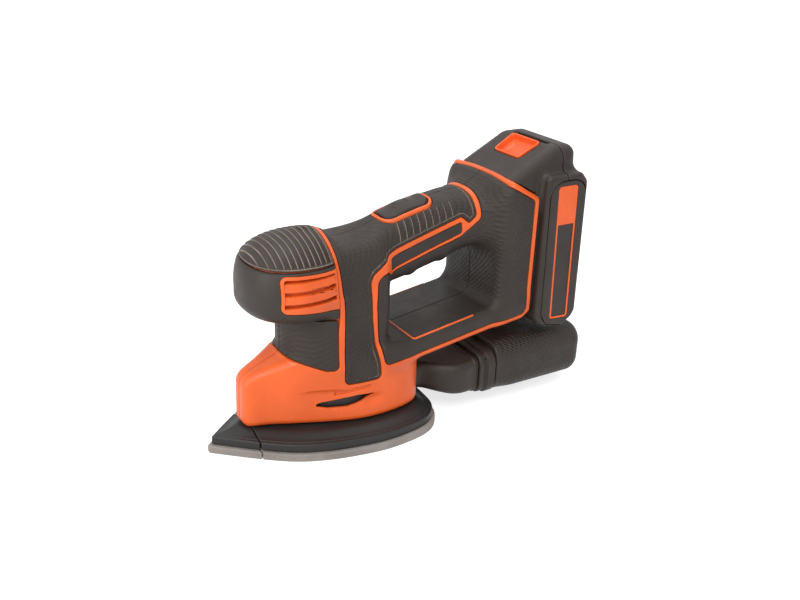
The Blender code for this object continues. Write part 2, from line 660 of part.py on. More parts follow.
def make_wire(name, finish, y):
    """A lead from the battery terminals, through the handle, to the motor's end cap."""
    route = [(116.2, y, 119), (112, y, 123), (107, y, 126), (100, y, 126.6), (90, y, 125),
             (80, y, 121), (70, y, 115), (60, y, 110), (48, y, 107.5), (38, y, 107.5), (30, y, 109),
             (23, y, 111.5), (17, y, 113)]
    data = bpy.data.curves.new(name, "CURVE")
    data.dimensions = "3D"
    data.bevel_depth = 1.1 * MM
    data.bevel_resolution = 2
    data.use_fill_caps = True
    spline = data.splines.new("POLY")
    spline.points.add(len(route) - 1)
    for point, place in zip(spline.points, route):
        point.co = (*(Vector(place) * MM), 1)
    data.materials.append(material(finish))
    wire = bpy.data.objects.new(name, data)
    bpy.context.scene.collection.objects.link(wire)


def make_terminals():
    """The terminal block behind the rail channel."""
    block = prism("terminal_block", box_outline(117.0, 125.4, 94, 134), "Y", -16, 16, "rubber")
    for number, y in enumerate(BLADE_Y):
        blade = prism(f"terminal_blade_{number}", box_outline(124, 132.4, 104, 124), "Y", y - 0.4,
                      y + 0.4)
        combine(block, "UNION", blade)


# ---------------------------------------------------------------- battery

def pack_corners():
    """The cell housing in side view, as corners (x, z, radius)."""
    return [(PACK_FRONT, 56, 8), (148, 51.5, 3), (163, 47.8, 4), (PACK_REAR, 57, 7),
            (PACK_REAR - 1.5, 150, 6), (PACK_REAR - 6.5, 155.5, 4), (PACK_FRONT, 155.5, 3)]


def head_corners():
    """The pack's head in side view: a nose over the block, a slope up from it and a level top."""
    rise = tan(SLOPE)
    foot = crest_line(0) + HEAD_GAP
    nose_x = (foot - BUTTON[1] + BUTTON[0] * rise) / (rise + FOOT_FALL)
    top_x = BUTTON[0] + (HEAD_TOP - BUTTON[1]) / rise
    rear_x = PACK_FRONT + 2
    return [(nose_x, foot - FOOT_FALL * nose_x, 1), (top_x, HEAD_TOP, 5),
            (PACK_REAR - 6.5, HEAD_TOP, 6), (PACK_REAR - 3, 150, 0),
            (rear_x, foot - FOOT_FALL * rear_x, 0)]


def battery_form(inset):
    """The pack's outer form: cell housing, head and the flange towards the rails."""
    body = pillow(f"pack_form_{inset:g}", shrink_corners(pack_corners(), inset), "Y",
                  -PACK_HALF + inset, PACK_HALF - inset, max(0.8, 3.0 - inset))
    head = pillow(f"head_form_{inset:g}", shrink_corners(head_corners(), inset), "Y",
                  -HEAD_HALF + inset, HEAD_HALF - inset, max(0.8, 5.0 - inset))
    flange = prism(f"flange_form_{inset:g}", shrink(box_outline(135.2, 146, 66, 152), inset), "Y",
                   -31.0 + inset, 31.0 - inset)
    return combine(body, "UNION", head, flange)


def make_battery():
    """Front and rear shells, rail, release button, spring, cells and the contact board."""
    outer = battery_form(0)
    inner = battery_form(2.2)
    front = prism("battery_front", box_outline(115, PACK_SEAM - 0.15, 40, 185), "Y", -60, 60,
                  "pack_grey")
    rear = prism("battery_rear", box_outline(PACK_SEAM + 0.15, 180, 40, 185), "Y", -60, 60,
                 "pack_grey")
    rail = prism("battery_rail", rail_outline(0.7), "Z", 84, 147)
    rail_end = prism("rail_end", box_outline(100, 137.5, 60, 170), "Y", -40, 40)
    combine(rail, "INTERSECT", rail_end)
    combine(front, "INTERSECT", outer)
    combine(front, "UNION", rail)
    combine(front, "DIFFERENCE", inner)
    for number, y in enumerate(BLADE_Y):
        slot = prism(f"blade_slot_{number}", box_outline(125, 134, 80, 127), "Y", y - 1.1, y + 1.1)
        combine(front, "DIFFERENCE", slot)
    combine(rear, "INTERSECT", outer)
    combine(rear, "DIFFERENCE", inner)
    make_release_button(front)
    for number in range(CELLS):
        z = CELL_FIRST_Z + CELL_PITCH * number
        half = CELL_LENGTH / 2
        turned(f"cell_{number + 1}", [(0, -half), (CELL_R, -half), (CELL_R, half), (3.0, half),
                                      (3.0, half + 1.2), (0, half + 1.2)], "cell_blue",
               (CELL_X, z), "Y", 20)
    prism("contact_board", box_outline(143.2, 145.0, 90, 140), "Y", -20, 20, "board_green")


def make_release_button(front):
    """The dished latch button on the slope, and the spring behind it."""
    centre = Vector((BUTTON[0], 0.0, BUTTON[1]))
    placed = Matrix.Translation(centre * MM) @ Matrix.Rotation(-SLOPE, 4, "Y")
    plan = [(-9.4, -13.2, 3), (9.4, -14.8, 3), (9.4, 14.8, 3), (-9.4, 13.2, 3)]
    button_foot = -5.5
    spring_top = button_foot - 0.4
    spring_foot = spring_top - 2.6 * BUTTON_TRAVEL
    opening = prism("button_opening", rounded(plan), "Z", -12, 12)
    button = pillow("release_button", shrink_corners(plan, GAP + 0.1), "Z", button_foot, 0.6, 0.5,
                    "orange")
    dish = prism("button_dish", rounded(shrink_corners(plan, 3.4)), "Z", -1.6, 5)
    combine(button, "DIFFERENCE", dish)
    spring = turned("latch_spring", [(2.2, spring_foot), (3.2, spring_foot), (3.2, spring_top),
                                     (2.2, spring_top)], "steel", segments=16)
    seat_top = spring_foot - GAP
    seat = prism("latch_seat", box_outline(-4, 4, -HEAD_HALF + 1, HEAD_HALF - 1), "Z",
                 seat_top - 2, seat_top)
    for piece in (opening, button, dish, spring, seat):
        piece.matrix_world = placed
    combine(front, "UNION", seat)
    combine(front, "DIFFERENCE", opening)


# ---------------------------------------------------------------- assembly

def clear_scene():
    for obj in list(bpy.data.objects):
        bpy.data.objects.remove(obj, do_unlink=True)


def main():
    clear_scene()
    make_housing()
    make_motor()
    make_rotor()
    make_pad()
    make_dust_path()
    make_switch()
    make_terminals()
    make_battery()


main()
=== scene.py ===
"""Finished look of the cordless detail sander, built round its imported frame.

The outer pieces are drawn as fields: functions of x, y and z, in millimetres, that are negative
inside a piece and grow by about one for each millimetre outwards. A field keeps blended and rounded
forms exact, and surface() turns it into a mesh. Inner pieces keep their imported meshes.
"""
import json
from math import cos, pi, radians, sin, tan

import bpy
import numpy as np
from mathutils import Matrix, Vector


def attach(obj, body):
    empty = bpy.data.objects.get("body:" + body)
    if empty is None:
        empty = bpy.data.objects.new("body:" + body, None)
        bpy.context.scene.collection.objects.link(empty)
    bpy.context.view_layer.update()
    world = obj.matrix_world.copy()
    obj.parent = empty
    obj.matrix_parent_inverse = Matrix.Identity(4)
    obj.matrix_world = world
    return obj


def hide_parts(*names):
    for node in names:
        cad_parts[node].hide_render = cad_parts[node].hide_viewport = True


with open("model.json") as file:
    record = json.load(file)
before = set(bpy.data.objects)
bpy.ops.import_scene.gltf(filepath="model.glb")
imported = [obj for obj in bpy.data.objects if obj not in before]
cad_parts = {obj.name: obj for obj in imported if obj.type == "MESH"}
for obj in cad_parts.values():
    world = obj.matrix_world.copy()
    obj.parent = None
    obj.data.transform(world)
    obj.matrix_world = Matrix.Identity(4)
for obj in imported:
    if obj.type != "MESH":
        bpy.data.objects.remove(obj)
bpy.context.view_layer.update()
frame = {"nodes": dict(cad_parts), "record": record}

MM = 0.001
SKIN = 2              # thickness of the soft covers
GAP = 0.35              # clearance between neighbouring pieces
SEAM = 0.2              # half the gap between the left and right pieces
WALL = 2.25             # thickness of the bright shells under the covers
BLOCK = 4               # cells along each side of a grid block
KEY = 8192              # more than the cells along any side of a grid
FAR = 1e3               # the value of a field with nothing in it
SIDES = ((-1, "left"), (1, "right"))


# ---- fields

def blend(a, b, reach):
    """The union of two fields, with a fillet where they meet."""
    share = np.clip(0.5 + 0.5 * (b - a) / reach, 0, 1)
    return b + (a - b) * share - reach * share * (1 - share)


def both(a, b, radius=0):
    """The overlap of two fields, with a rounded edge."""
    if not radius:
        return np.maximum(a, b)
    return (np.minimum(np.maximum(a, b), -radius)
            + np.hypot(np.maximum(a + radius, 0), np.maximum(b + radius, 0)))


def either(a, b, radius=0):
    """The union of two fields, with a rounded inner corner."""
    return -both(-a, -b, radius)


def without(a, b, radius=0):
    """The first field, cut by the second."""
    return both(a, -b, radius)


def between(t, low, high):
    """A field that is negative between two levels."""
    return np.maximum(low - t, t - high)


def plate(u, v, low_u, high_u, low_v, high_v, radius):
    """A rectangle with rounded corners."""
    across = np.abs(u - (low_u + high_u) / 2) - (high_u - low_u) / 2 + radius
    along = np.abs(v - (low_v + high_v) / 2) - (high_v - low_v) / 2 + radius
    return (np.hypot(np.maximum(across, 0), np.maximum(along, 0))
            + np.minimum(np.maximum(across, along), 0) - radius)


def oval(u, v, half_u, half_v, power):
    """A rounded, slightly squared oval."""
    size = (np.abs(u / half_u) ** power + np.abs(v / half_v) ** power) ** (1 / power)
    return (size - 1) * np.minimum(half_u, half_v)


def ease(t, low, high):
    """Rises smoothly from 0 to 1 between two levels."""
    share = np.clip((t - low) / (high - low), 0, 1)
    return share * share * (3 - 2 * share)


def ridge(distance, width):
    """A rounded ridge of height 1 along the places where a distance is 0."""
    return np.exp(-(distance / width) ** 2)


def curve(knots):
    """A smooth function through knots (t, value)."""
    t, value = (np.array(row, float) for row in zip(*knots))
    slope = np.gradient(value, t)

    def at(x):
        x = np.clip(x, t[0], t[-1])
        i = np.clip(np.searchsorted(t, x) - 1, 0, len(t) - 2)
        span = t[i + 1] - t[i]
        s = (x - t[i]) / span
        return ((1 + 2 * s) * (1 - s) ** 2 * value[i] + s * (1 - s) ** 2 * span * slope[i]
                + s * s * (3 - 2 * s) * value[i + 1] + s * s * (s - 1) * span * slope[i + 1])
    return at


# ---- outlines

def rounded(corners, steps=8):
    """A closed outline from corners (x, y, radius), each rounded by an arc."""
    outline = []
    for i, (x, y, radius) in enumerate(corners):
        here = Vector((x, y))
        to_last = (Vector(corners[i - 1][:2]) - here).normalized()
        to_next = (Vector(corners[(i + 1) % len(corners)][:2]) - here).normalized()
        if radius <= 0:
            outline.append((x, y))
            continue
        half_angle = to_last.angle(to_next) / 2
        centre = here + (to_last + to_next).normalized() * radius / sin(half_angle)
        leg = radius * cos(half_angle) / sin(half_angle)
        start, end = here + to_last * leg - centre, here + to_next * leg - centre
        turn = start.angle_signed(end)
        for step in range(steps + 1):
            outline.append(tuple(centre + Matrix.Rotation(-turn * step / steps, 2) @ start))
    return outline


def smooth(points, steps=8):
    """A closed Catmull-Rom curve through the points."""
    result = []
    for i in range(len(points)):
        a, b, c, d = (Vector(points[(i + k) % len(points)]) for k in (-1, 0, 1, 2))
        for step in range(steps):
            t = step / steps
            result.append(tuple(0.5 * (2 * b + (c - a) * t + (2 * a - 5 * b + 4 * c - d) * t ** 2
                                       + (3 * b - a - 3 * c + d) * t ** 3)))
    return result


def mirrored(half):
    """Close a half outline, listed from front to rear with y >= 0, by mirroring it in y."""
    return half + [(x, -y) for x, y in reversed(half) if y > 0]


class Outline:
    """A closed 2-D outline as a table of distances, negative inside."""

    def __init__(self, points, step=0.25, margin=12):
        points = np.array(points, float)
        self.step = step
        self.low = points.min(0) - margin
        counts = np.ceil((points.max(0) + margin - self.low) / step).astype(int) + 1
        u = self.low[0] + np.arange(counts[0])[:, None] * step
        v = self.low[1] + np.arange(counts[1])[None, :] * step
        nearest = np.full(counts, 1e9)
        inside = np.zeros(counts, bool)
        for (ax, ay), (bx, by) in zip(points, np.roll(points, -1, axis=0)):
            ex, ey = bx - ax, by - ay
            length = ex * ex + ey * ey
            if length < 1e-12:
                continue
            t = np.clip(((u - ax) * ex + (v - ay) * ey) / length, 0, 1)
            nearest = np.minimum(nearest, (u - ax - ex * t) ** 2 + (v - ay - ey * t) ** 2)
            if ay != by:
                inside ^= ((ay <= v) != (by <= v)) & (u < ax + (v - ay) * ex / ey)
        self.table = np.where(inside, -1, 1) * np.sqrt(nearest)

    def __call__(self, u, v):
        a = (u - self.low[0]) / self.step
        b = (v - self.low[1]) / self.step
        top_a, top_b = self.table.shape[0] - 1.001, self.table.shape[1] - 1.001
        inner_a, inner_b = np.clip(a, 0, top_a), np.clip(b, 0, top_b)
        i, j = inner_a.astype(int), inner_b.astype(int)
        s, t = inner_a - i, inner_b - j
        value = ((1 - s) * (1 - t) * self.table[i, j] + s * (1 - t) * self.table[i + 1, j]
                 + (1 - s) * t * self.table[i, j + 1] + s * t * self.table[i + 1, j + 1])
        return value + self.step * np.hypot(a - inner_a, b - inner_b)


# ---- field to mesh

CORNERS = [(i, j, k) for i in (0, 1) for j in (0, 1) for k in (0, 1)]
EDGES = [(a, b) for a in range(8) for b in range(a + 1, 8)
         if sum(abs(p - q) for p, q in zip(CORNERS[a], CORNERS[b])) == 1]
OFF_GRID = np.array((0.137, 0.219, 0.173))     # keeps flat faces from lying on a grid's planes
TETRAHEDRON = ((1, -1, -1), (-1, -1, 1), (-1, 1, -1), (1, 1, 1))


def grid_key(cells):
    return (cells[:, 0] * KEY + cells[:, 1]) * KEY + cells[:, 2]


def surface(field, low, high, step):
    """Points and quads of the surface where a field is 0, from a grid that is fine only near it."""
    low, high = np.array(low, float) - step * OFF_GRID, np.array(high, float)
    size = step * BLOCK
    counts = np.maximum(2, np.ceil((high - low) / size)).astype(int)
    x, y, z = (low[a] + (np.arange(counts[a]) + 0.5) * size for a in range(3))
    coarse = np.broadcast_to(field(x[:, None, None], y[None, :, None], z[None, None, :]), counts)
    slope = np.sqrt(sum(part ** 2 for part in np.gradient(coarse, size)))
    near = np.argwhere(np.abs(coarse) < size * np.maximum(1.2, 1.3 * slope))
    steps = np.arange(BLOCK + 1) * step
    corner = (low + near * size)[:, :, None, None, None]
    value = np.broadcast_to(field(corner[:, 0] + steps[:, None, None],
                                  corner[:, 1] + steps[None, :, None],
                                  corner[:, 2] + steps[None, None, :]),
                            (len(near),) + (BLOCK + 1,) * 3)
    cells = np.stack([value[:, i:i + BLOCK, j:j + BLOCK, k:k + BLOCK] for i, j, k in CORNERS], -1)
    below = (cells < 0).sum(-1)
    crossed = np.argwhere((below > 0) & (below < 8))
    ends = cells[tuple(crossed.T)]
    total, count = np.zeros((len(ends), 3)), np.zeros(len(ends))
    places = np.array(CORNERS, float)
    for a, b in EDGES:
        cut = (ends[:, a] < 0) != (ends[:, b] < 0)
        share = np.where(cut, ends[:, a] / np.where(cut, ends[:, a] - ends[:, b], 1), 0)
        total += (places[a] + share[:, None] * (places[b] - places[a])) * cut[:, None]
        count += cut
    grid = near[crossed[:, 0]] * BLOCK + crossed[:, 1:]
    points = low + (grid + total / count[:, None]) * step
    keys = grid_key(grid)
    order = np.argsort(keys)
    keys, points = keys[order], points[order]
    inside = value < 0
    quads = []
    for axis in range(3):
        u, v = (axis + 1) % 3, (axis + 2) % 3
        first = inside[:, :BLOCK, :BLOCK, :BLOCK]
        shift = [slice(1, None) if a == axis else slice(0, BLOCK) for a in range(3)]
        second = inside[(slice(None), *shift)]
        edge = np.argwhere(first != second)
        node = near[edge[:, 0]] * BLOCK + edge[:, 1:]
        ring = []
        for du, dv in ((0, 0), (-1, 0), (-1, -1), (0, -1)):
            cell = node.copy()
            cell[:, u] += du
            cell[:, v] += dv
            ring.append(grid_key(cell))
        ring = np.stack(ring, 1)
        found = np.searchsorted(keys, ring).clip(max=len(keys) - 1)
        whole = (keys[found] == ring).all(1)
        outward = first[tuple(edge.T)][:, None]
        quads.append(np.where(outward, found, found[:, ::-1])[whole])
    return points, np.concatenate(quads)


def slope_at(field, points, reach):
    """A field's value and slope at points."""
    value, slope = np.zeros(len(points)), np.zeros((len(points), 3))
    for way in TETRAHEDRON:
        found = field(*(points[:, a] + way[a] * reach for a in range(3)))
        value += found / 4
        slope += np.outer(found, way) / (4 * reach)
    return value, slope


def settle(field, points, step):
    """Move points onto the surface, and return them with the surface's normals there."""
    for _ in range(2):
        value, slope = slope_at(field, points, 0.2 * step)
        move = -slope * (value / np.maximum((slope ** 2).sum(1), 0.25))[:, None]
        length = np.linalg.norm(move, axis=1)
        move *= (np.minimum(length, 0.45 * step) / np.maximum(length, 1e-9))[:, None]
        points = points + move
    slope = slope_at(field, points, 0.3 * step)[1]
    return points, slope / np.maximum(np.linalg.norm(slope, axis=1), 1e-9)[:, None]


def mesh_from(name, points, faces):
    """A mesh in millimetres, from points and faces with equal counts of corners."""
    mesh = bpy.data.meshes.new(name)
    corners = faces.shape[1]
    mesh.vertices.add(len(points))
    mesh.vertices.foreach_set("co", points.astype(np.float32).ravel())
    mesh.loops.add(faces.size)
    mesh.loops.foreach_set("vertex_index", faces.astype(np.int32).ravel())
    mesh.polygons.add(len(faces))
    mesh.polygons.foreach_set("loop_start", np.arange(0, faces.size, corners, dtype=np.int32))
    mesh.update(calc_edges=True)
    mesh.validate()
    mesh.shade_smooth()
    return mesh


def placed(name, data):
    """A new object in the scene."""
    obj = bpy.data.objects.new(name, data)
    bpy.context.scene.collection.objects.link(obj)
    return obj


def thinned(mesh, keep):
    """The mesh with a share of its triangles, fewest where it is flat."""
    obj = placed("thinning", mesh)
    modifier = obj.modifiers.new("thinning", "DECIMATE")
    modifier.ratio = keep
    graph = bpy.context.evaluated_depsgraph_get()
    result = bpy.data.meshes.new_from_object(obj.evaluated_get(graph), depsgraph=graph)
    bpy.data.objects.remove(obj)
    return result


def solid(name, field, low, high, step, material, keep=0.3, painted_highlight=None):
    """An object whose surface is where the field is 0, inside a box in millimetres.

    The last argument, a function of x, y and z, says from 0 to 1 where its raised lines are painted
    lighter as a highlight.
    """
    points, quads = surface(field, low, high, step)
    points = settle(field, points, step)[0]
    mesh = thinned(mesh_from(name, points, quads), keep)
    mesh.name = name
    flat = np.zeros(len(mesh.vertices) * 3, np.float32)
    mesh.vertices.foreach_get("co", flat)
    points, normals = settle(field, flat.reshape(-1, 3).astype(float), step)
    mesh.vertices.foreach_set("co", (points * MM).astype(np.float32).ravel())
    mesh.update()
    mesh.shade_smooth()
    mesh.normals_split_custom_set_from_vertices(normals.tolist())
    # the material paints a highlight on raised lines where this attribute is high
    if painted_highlight is not None:
        marks = mesh.attributes.new("painted_highlight", "FLOAT", "POINT")
        marks.data.foreach_set("value", painted_highlight(*points.T).astype(np.float32))
    mesh.materials.append(material)
    return placed(name, mesh)


# ---- outer form of the housing

SKIRT_BOTTOM = 14.6
SKIRT_PLAN = Outline(smooth(mirrored([
    (-55, 0), (-54.5, 6), (-51.2, 9.5), (-40, 13), (-25, 19.5), (1, 29.5),
    (21, 33.4), (43, 31.5), (55, 26), (60, 14), (61, 0)])))
NECK_R = 28
DOME_BOTTOM = 85.5
DOME_TOP = 134
DOME_FRONT = curve([(85.5, -46), (91, -51.3), (100, -52.4), (111, -51.6), (118, -49.6), (124, -45),
                    (129, -36.6), (134, -18)])
DOME_HALF = curve([(85.5, 28), (91, 31.2), (100, 33), (108, 33), (114, 31.8), (118, 30), (122, 27),
                   (126, 22.3), (130, 15.7), (134, 5)])
DOME_REAR = curve([(85.5, 14), (111, 10.5), (122, 8), (130, 2), (134, -5)])
COLUMN_HALF = curve([(42, 22), (58, 27.4), (66, 28), (98, 28), (110, 25.5), (120, 21), (128.5, 14)])
HANDLE_TOP = curve([(2, 122.5), (10, 123.5), (23, 127.2), (40, 134.2), (58, 139.4), (75, 142.6),
                    (88, 144.4), (97, 145.2), (106, 147.4), (116, 149.4)])
HANDLE_BOTTOM = curve([(2, 91), (30, 91.2), (45, 92.3), (62, 96.2), (80, 101), (96, 106),
                       (106, 107.5), (116, 106)])
HANDLE_HALF = curve([(2, 19.5), (30, 19), (80, 19), (94, 20), (105, 24), (116, 30)])
BAR_HALF = 31.8
BAR_SIDE = Outline(rounded([(26, 43, 3), (50, 46.5, 0), (133, 59.2, 3), (133, 74, 0),
                            (118, 72.5, 0), (46, 61, 0), (26, 62, 3)]))
BLOCK_HALF = 33.6
BLOCK_FRONT = 109.6
BLOCK_REAR = 134.4
BLOCK_LIP = 137.2       # the block's sides reach further back, past the battery's flange
BLOCK_CREST = (117, 153.4)
CREST_FALL = 0.547      # how fast the block's top, and the battery head's underside, fall rearwards


def crest_line(x):
    """Height of the block's top."""
    return BLOCK_CREST[1] - CREST_FALL * (x - BLOCK_CREST[0])


BLOCK_SIDE = Outline(rounded([(BLOCK_FRONT, 60, 4), (BLOCK_FRONT, 147, 5), (*BLOCK_CREST, 2.5),
                              (139, crest_line(139), 3), (139, 63, 4)]))
FINGER_BUMPS = (57.5, 80)


def skirt(x, y, z):
    top = 46.6 + 11 * np.clip((x + 56) / 28, 0, 1)
    form = both(SKIRT_PLAN(x, y) + 0.012 * (z - SKIRT_BOTTOM), 0.95 * (z - top), 6.5)
    scoop = 2 * np.exp(-((x - 19) / 6) ** 2 - ((z - 28.6) / 3.2) ** 2)
    return both(form, SKIRT_BOTTOM - z, 4.5) + scoop


def dome(x, y, z):
    front, rear, half = DOME_FRONT(z), DOME_REAR(z), DOME_HALF(z)
    plan = oval(x - (front + rear) / 2, y, (rear - front) / 2, half, 2.25)
    return both(both(plan, z - DOME_TOP, 3), DOME_BOTTOM - z, 3)


def column(x, y, z):
    half = COLUMN_HALF(z)
    return both(plate(x, y, -8, 36, -half, half, 10), between(z, 42, 124), 3)


def handle(x, y, z):
    top, bottom = HANDLE_TOP(x), HANDLE_BOTTOM(x)
    for bump in FINGER_BUMPS:
        bottom = bottom - 1.5 * ridge(x - bump, 3)
    section = oval(y, z - (top + bottom) / 2, HANDLE_HALF(x), (top - bottom) / 2, 2.5)
    return both(section, between(x, 2, 118), 4)


def bar(x, y, z):
    return both(BAR_SIDE(x, z), np.abs(y) - BAR_HALF, 4)


def rear_block(x, y, z):
    plan = plate(x, y, BLOCK_FRONT, BLOCK_FRONT + 60, -BLOCK_HALF, BLOCK_HALF, 11)
    form = both(plan, BLOCK_SIDE(x, z), 3.5)
    lip = both(both(form, x - BLOCK_LIP, 1), 31.5 - np.abs(y))
    return np.minimum(both(form, x - BLOCK_REAR), lip)


def body(x, y, z):
    """The housing's whole outer form."""
    neck = both(np.hypot(x, y) - NECK_R, between(z, 40, 96))
    form = blend(skirt(x, y, z), neck, 5)
    form = blend(form, column(x, y, z), 7)
    form = blend(form, bar(x, y, z), 5)
    form = blend(form, dome(x, y, z), 4)
    upper = blend(handle(x, y, z), rear_block(x, y, z), 15)
    return both(blend(form, upper, 9), SKIRT_BOTTOM - z, 0.8)


# ---- covers and stripes

def stripe_x(z):
    """Where the front stripe's middle lies at a height: upright, then leaning forward."""
    return 0.3 - 2.5 * max(0, (z - 84) / 46) ** 1.2


STRIPE_HALF = 2.4
PALM_Z = 118.5          # height of the joint between the head's two covers
STRIPE_FOOT = DOME_BOTTOM - 0.6
FRONT_STRIPE = [(stripe_x(z) - STRIPE_HALF, z) for z in (STRIPE_FOOT, 92, 98, 104, 110, PALM_Z)]
STRIPE_TOP = (stripe_x(140) - STRIPE_HALF, 150)
COVERS = {
    "head_cover": Outline([(-64, PALM_Z), (-64, STRIPE_FOOT)] + FRONT_STRIPE),
    "palm_grip": Outline([(-64, PALM_Z), FRONT_STRIPE[-1], STRIPE_TOP, (-64, 150)]),
    "neck_cover": Outline(rounded([(-60, 84.6, 0), (-60, 59, 0), (-29, 58.2, 2), (-9, 51.2, 5),
                                   (-2, 51, 3), (-3, 84.6, 0)])),
    "grip_cover": Outline(rounded([
        (1.6, 40.2, 4), (25.4, 41.4, 3), (23.8, 58, 0), (20.6, 79.5, 0), (19.4, 106, 9),
        (33, 113, 3), (34.8, 115.9, 3), (88.4, 131.5, 2), (93.8, 126.9, 1.5), (98.4, 131.5, 4),
        (97.4, 160, 0), (-1.9, 160, 0), (-1.3, 118, 0), (0.9, 90, 0)])),
    "rear_cover": Outline(rounded([
        (27.6, 49, 4), (48, 50.4, 0), (133.6, 63.8, 5), (133.8, 92, 0), (133.8, 140.4, 4),
        (114.6, 151, 1), (114.2, 160, 0), (100.8, 160, 0), (101, 130, 5), (94.2, 123.6, 3),
        (88.2, 118.9, 3), (36.6, 102.7, 1), (33.6, 106.2, 2.5), (24.6, 105.2, 6), (23.2, 88, 0),
        (24.2, 75, 0)])),
}
# the whole front, so that no bright plastic shows where its covers meet
FRONT = Outline([(-64, 150), (-64, 76), (-2.8, 76)] + FRONT_STRIPE + [STRIPE_TOP])
GRILLE = Outline(rounded([(-39, 94.8, 4), (-2.5, 91.8, 0), (-3.6, 116.4, 0), (-39, 117, 4)]))
LABEL_WINDOW = Outline(rounded([(37.4, 104.6, 1.5), (37, 113.1, 1.5), (88.4, 128.6, 1.5),
                                (89.2, 121.1, 1.5)]))
SLOT = Outline(rounded([(-16.4, 27.3, 1), (-7.6, 25.7, 0), (4, 25.7, 0), (13, 28.2, 0),
                        (22.5, 32.4, 0.6), (10, 33, 0), (0.5, 31.8, 0), (-6.5, 30.7, 0),
                        (-12.8, 29.7, 1)]))
SKIRT_GROOVE = Outline(rounded([(-4.6, 34.2, 0.6), (17.6, 36.9, 0.6), (17.6, 39.1, 0.6),
                                (-4.2, 36.6, 0.6)]))
SCREWS = ((-36, 34, 10.5), (54, 38, 22), (122, 82, 28), (-38, 92, 12))
SWITCH_CENTRE = (55, 0, 138.1)
BEZEL = (18.7, 11.5)    # half length and half width
BEZEL_RIM = 1.9
SWITCH_SLOPE = radians(15.5)


def on_slope(x, y, z, centre, slope):
    """Coordinates up a slope, across it, and out of it."""
    dx, dz = x - centre[0], z - centre[2]
    return dx * cos(slope) + dz * sin(slope), y, dz * cos(slope) - dx * sin(slope)


def switch_plan(u, v, inset):
    """The bezel's outline, set inwards."""
    length, width = BEZEL[0] - inset, BEZEL[1] - inset
    return plate(u, v, -length, length, -width, width, 8 - inset)


def switch_well(x, y, z):
    u, v, w = on_slope(x, y, z, SWITCH_CENTRE, SWITCH_SLOPE)
    return both(switch_plan(u, v, -GAP), between(w, -9.6, 30))


def screw_holes(x, y, z):
    """Stepped holes from the right-hand side."""
    holes = FAR
    for sx, sz, _ in SCREWS:
        ring = np.hypot(x - sx, z - sz)
        narrow, wide = both(ring - 1.9, between(y, -9, 9)), both(ring - 3.9, 8 - y)
        holes = np.minimum(holes, np.minimum(narrow, wide))
    return holes


def bosses(x, y, z):
    form = FAR
    for sx, sz, reach in SCREWS:
        form = np.minimum(form, both(np.hypot(x - sx, z - sz) - 4.4, np.abs(y) - reach))
    return form


def rail_channel(x, y, z, clearance=0):
    """The T-shaped channel that the battery's rail slides in."""
    across = np.abs(y)
    wide = both(across - 21 + clearance, between(x, 128.2 + clearance, 131.8 - clearance))
    throat = both(across - 16.5 + clearance, between(x, 128.2 + clearance, 150))
    return np.minimum(wide, throat)


def one_side(y, side):
    return SEAM - side * y


def shell(side):
    """A bright half: bare along the stripes and skirt, set back under the covers."""
    def field(x, y, z):
        form = body(x, y, z)
        covered = np.minimum.reduce([outline(x, z) for outline in (*COVERS.values(), FRONT)])
        bare = both(-covered, -LABEL_WINDOW(x, z))
        raised = both(form, bare, 0.7)
        raised = without(raised, both(SKIRT_GROOVE(x, z), -form - 1.2), 0.3)
        raised = raised + 0.35 * ridge(y, 0.5) * ease(-z, -62, -58)     # the seam on the prow
        outer = np.minimum(raised, form + SKIN + GAP)
        inner = form + SKIN + GAP + WALL
        hollow = np.minimum(inner, both(both(inner - 3, SKIRT_PLAN(x, y) + 6), z - 22))
        made = without(outer, hollow)
        made = np.minimum(made, both(bosses(x, y, z), form + 1.5))
        # the wall that the battery's rail slides in, with a window for the terminals
        guide = both(between(x, 125.8, 133), both(np.abs(y) - 27, between(z, 74, 141)))
        made = np.minimum(made, guide)
        window = both(between(x, 120, 130), both(np.abs(y) - 13, between(z, 98, 130)))
        slot = np.minimum(SLOT(x, z), both(SLOT(x, z) - 1.4, form + 1.8))
        slot = both(slot, 18 - np.abs(y))
        outlet = both(plate(y, z, -15, 15, 18, 31, 3), between(x, 50, 70))
        for cut in (both(rail_channel(x, y, z), 78 - z), window, slot, outlet, switch_well(x, y, z),
                    GRILLE(x, z), screw_holes(x, y, z)):
            made = without(made, cut)
        return both(made, one_side(y, side), 0.35)
    return field


BEAD_HEIGHT = 0.4
BEADS = {
    # how high a cover's bead stands, how far inside its edge it runs, and the height it starts at
    "palm_grip": (BEAD_HEIGHT, 1.5, 0), "grip_cover": (BEAD_HEIGHT, 2.6, 40),
    "rear_cover": (0.25, 3.4, 118),
}
COLUMN_LINE = 84.5          # height of the line across the column
PALM_RIBS = (-46.6, 3.6)    # where the ribs start along the tool, and their pitch
PALM_RIB_COUNT = 12
SIDE_RIBS = (44.4, 4.7)


def bead_on(name, edge, z):
    """The height of the thin bead that follows a cover's edge."""
    height, place, start = BEADS.get(name, (0, 0, 0))
    return height * (ridge(edge + place, 0.38) * ease(z, start - 6, start + 2))


def palm_ribs(x, y, z, edge):
    """Ribs across the palm grip, each with a steep front: their height, and where their crests get
    a painted highlight.
    """
    place = (x - PALM_RIBS[0]) / PALM_RIBS[1]
    step = place - np.floor(place)
    inside = ease(-edge, 1.6, 2.6) * (place > 0) * (place < PALM_RIB_COUNT)
    height = 1.2 * np.minimum(step / 0.12, (1 - step) / 0.88)
    return inside * (height - 0.7), 0.5 * inside * ease(z, 117.5, 123)


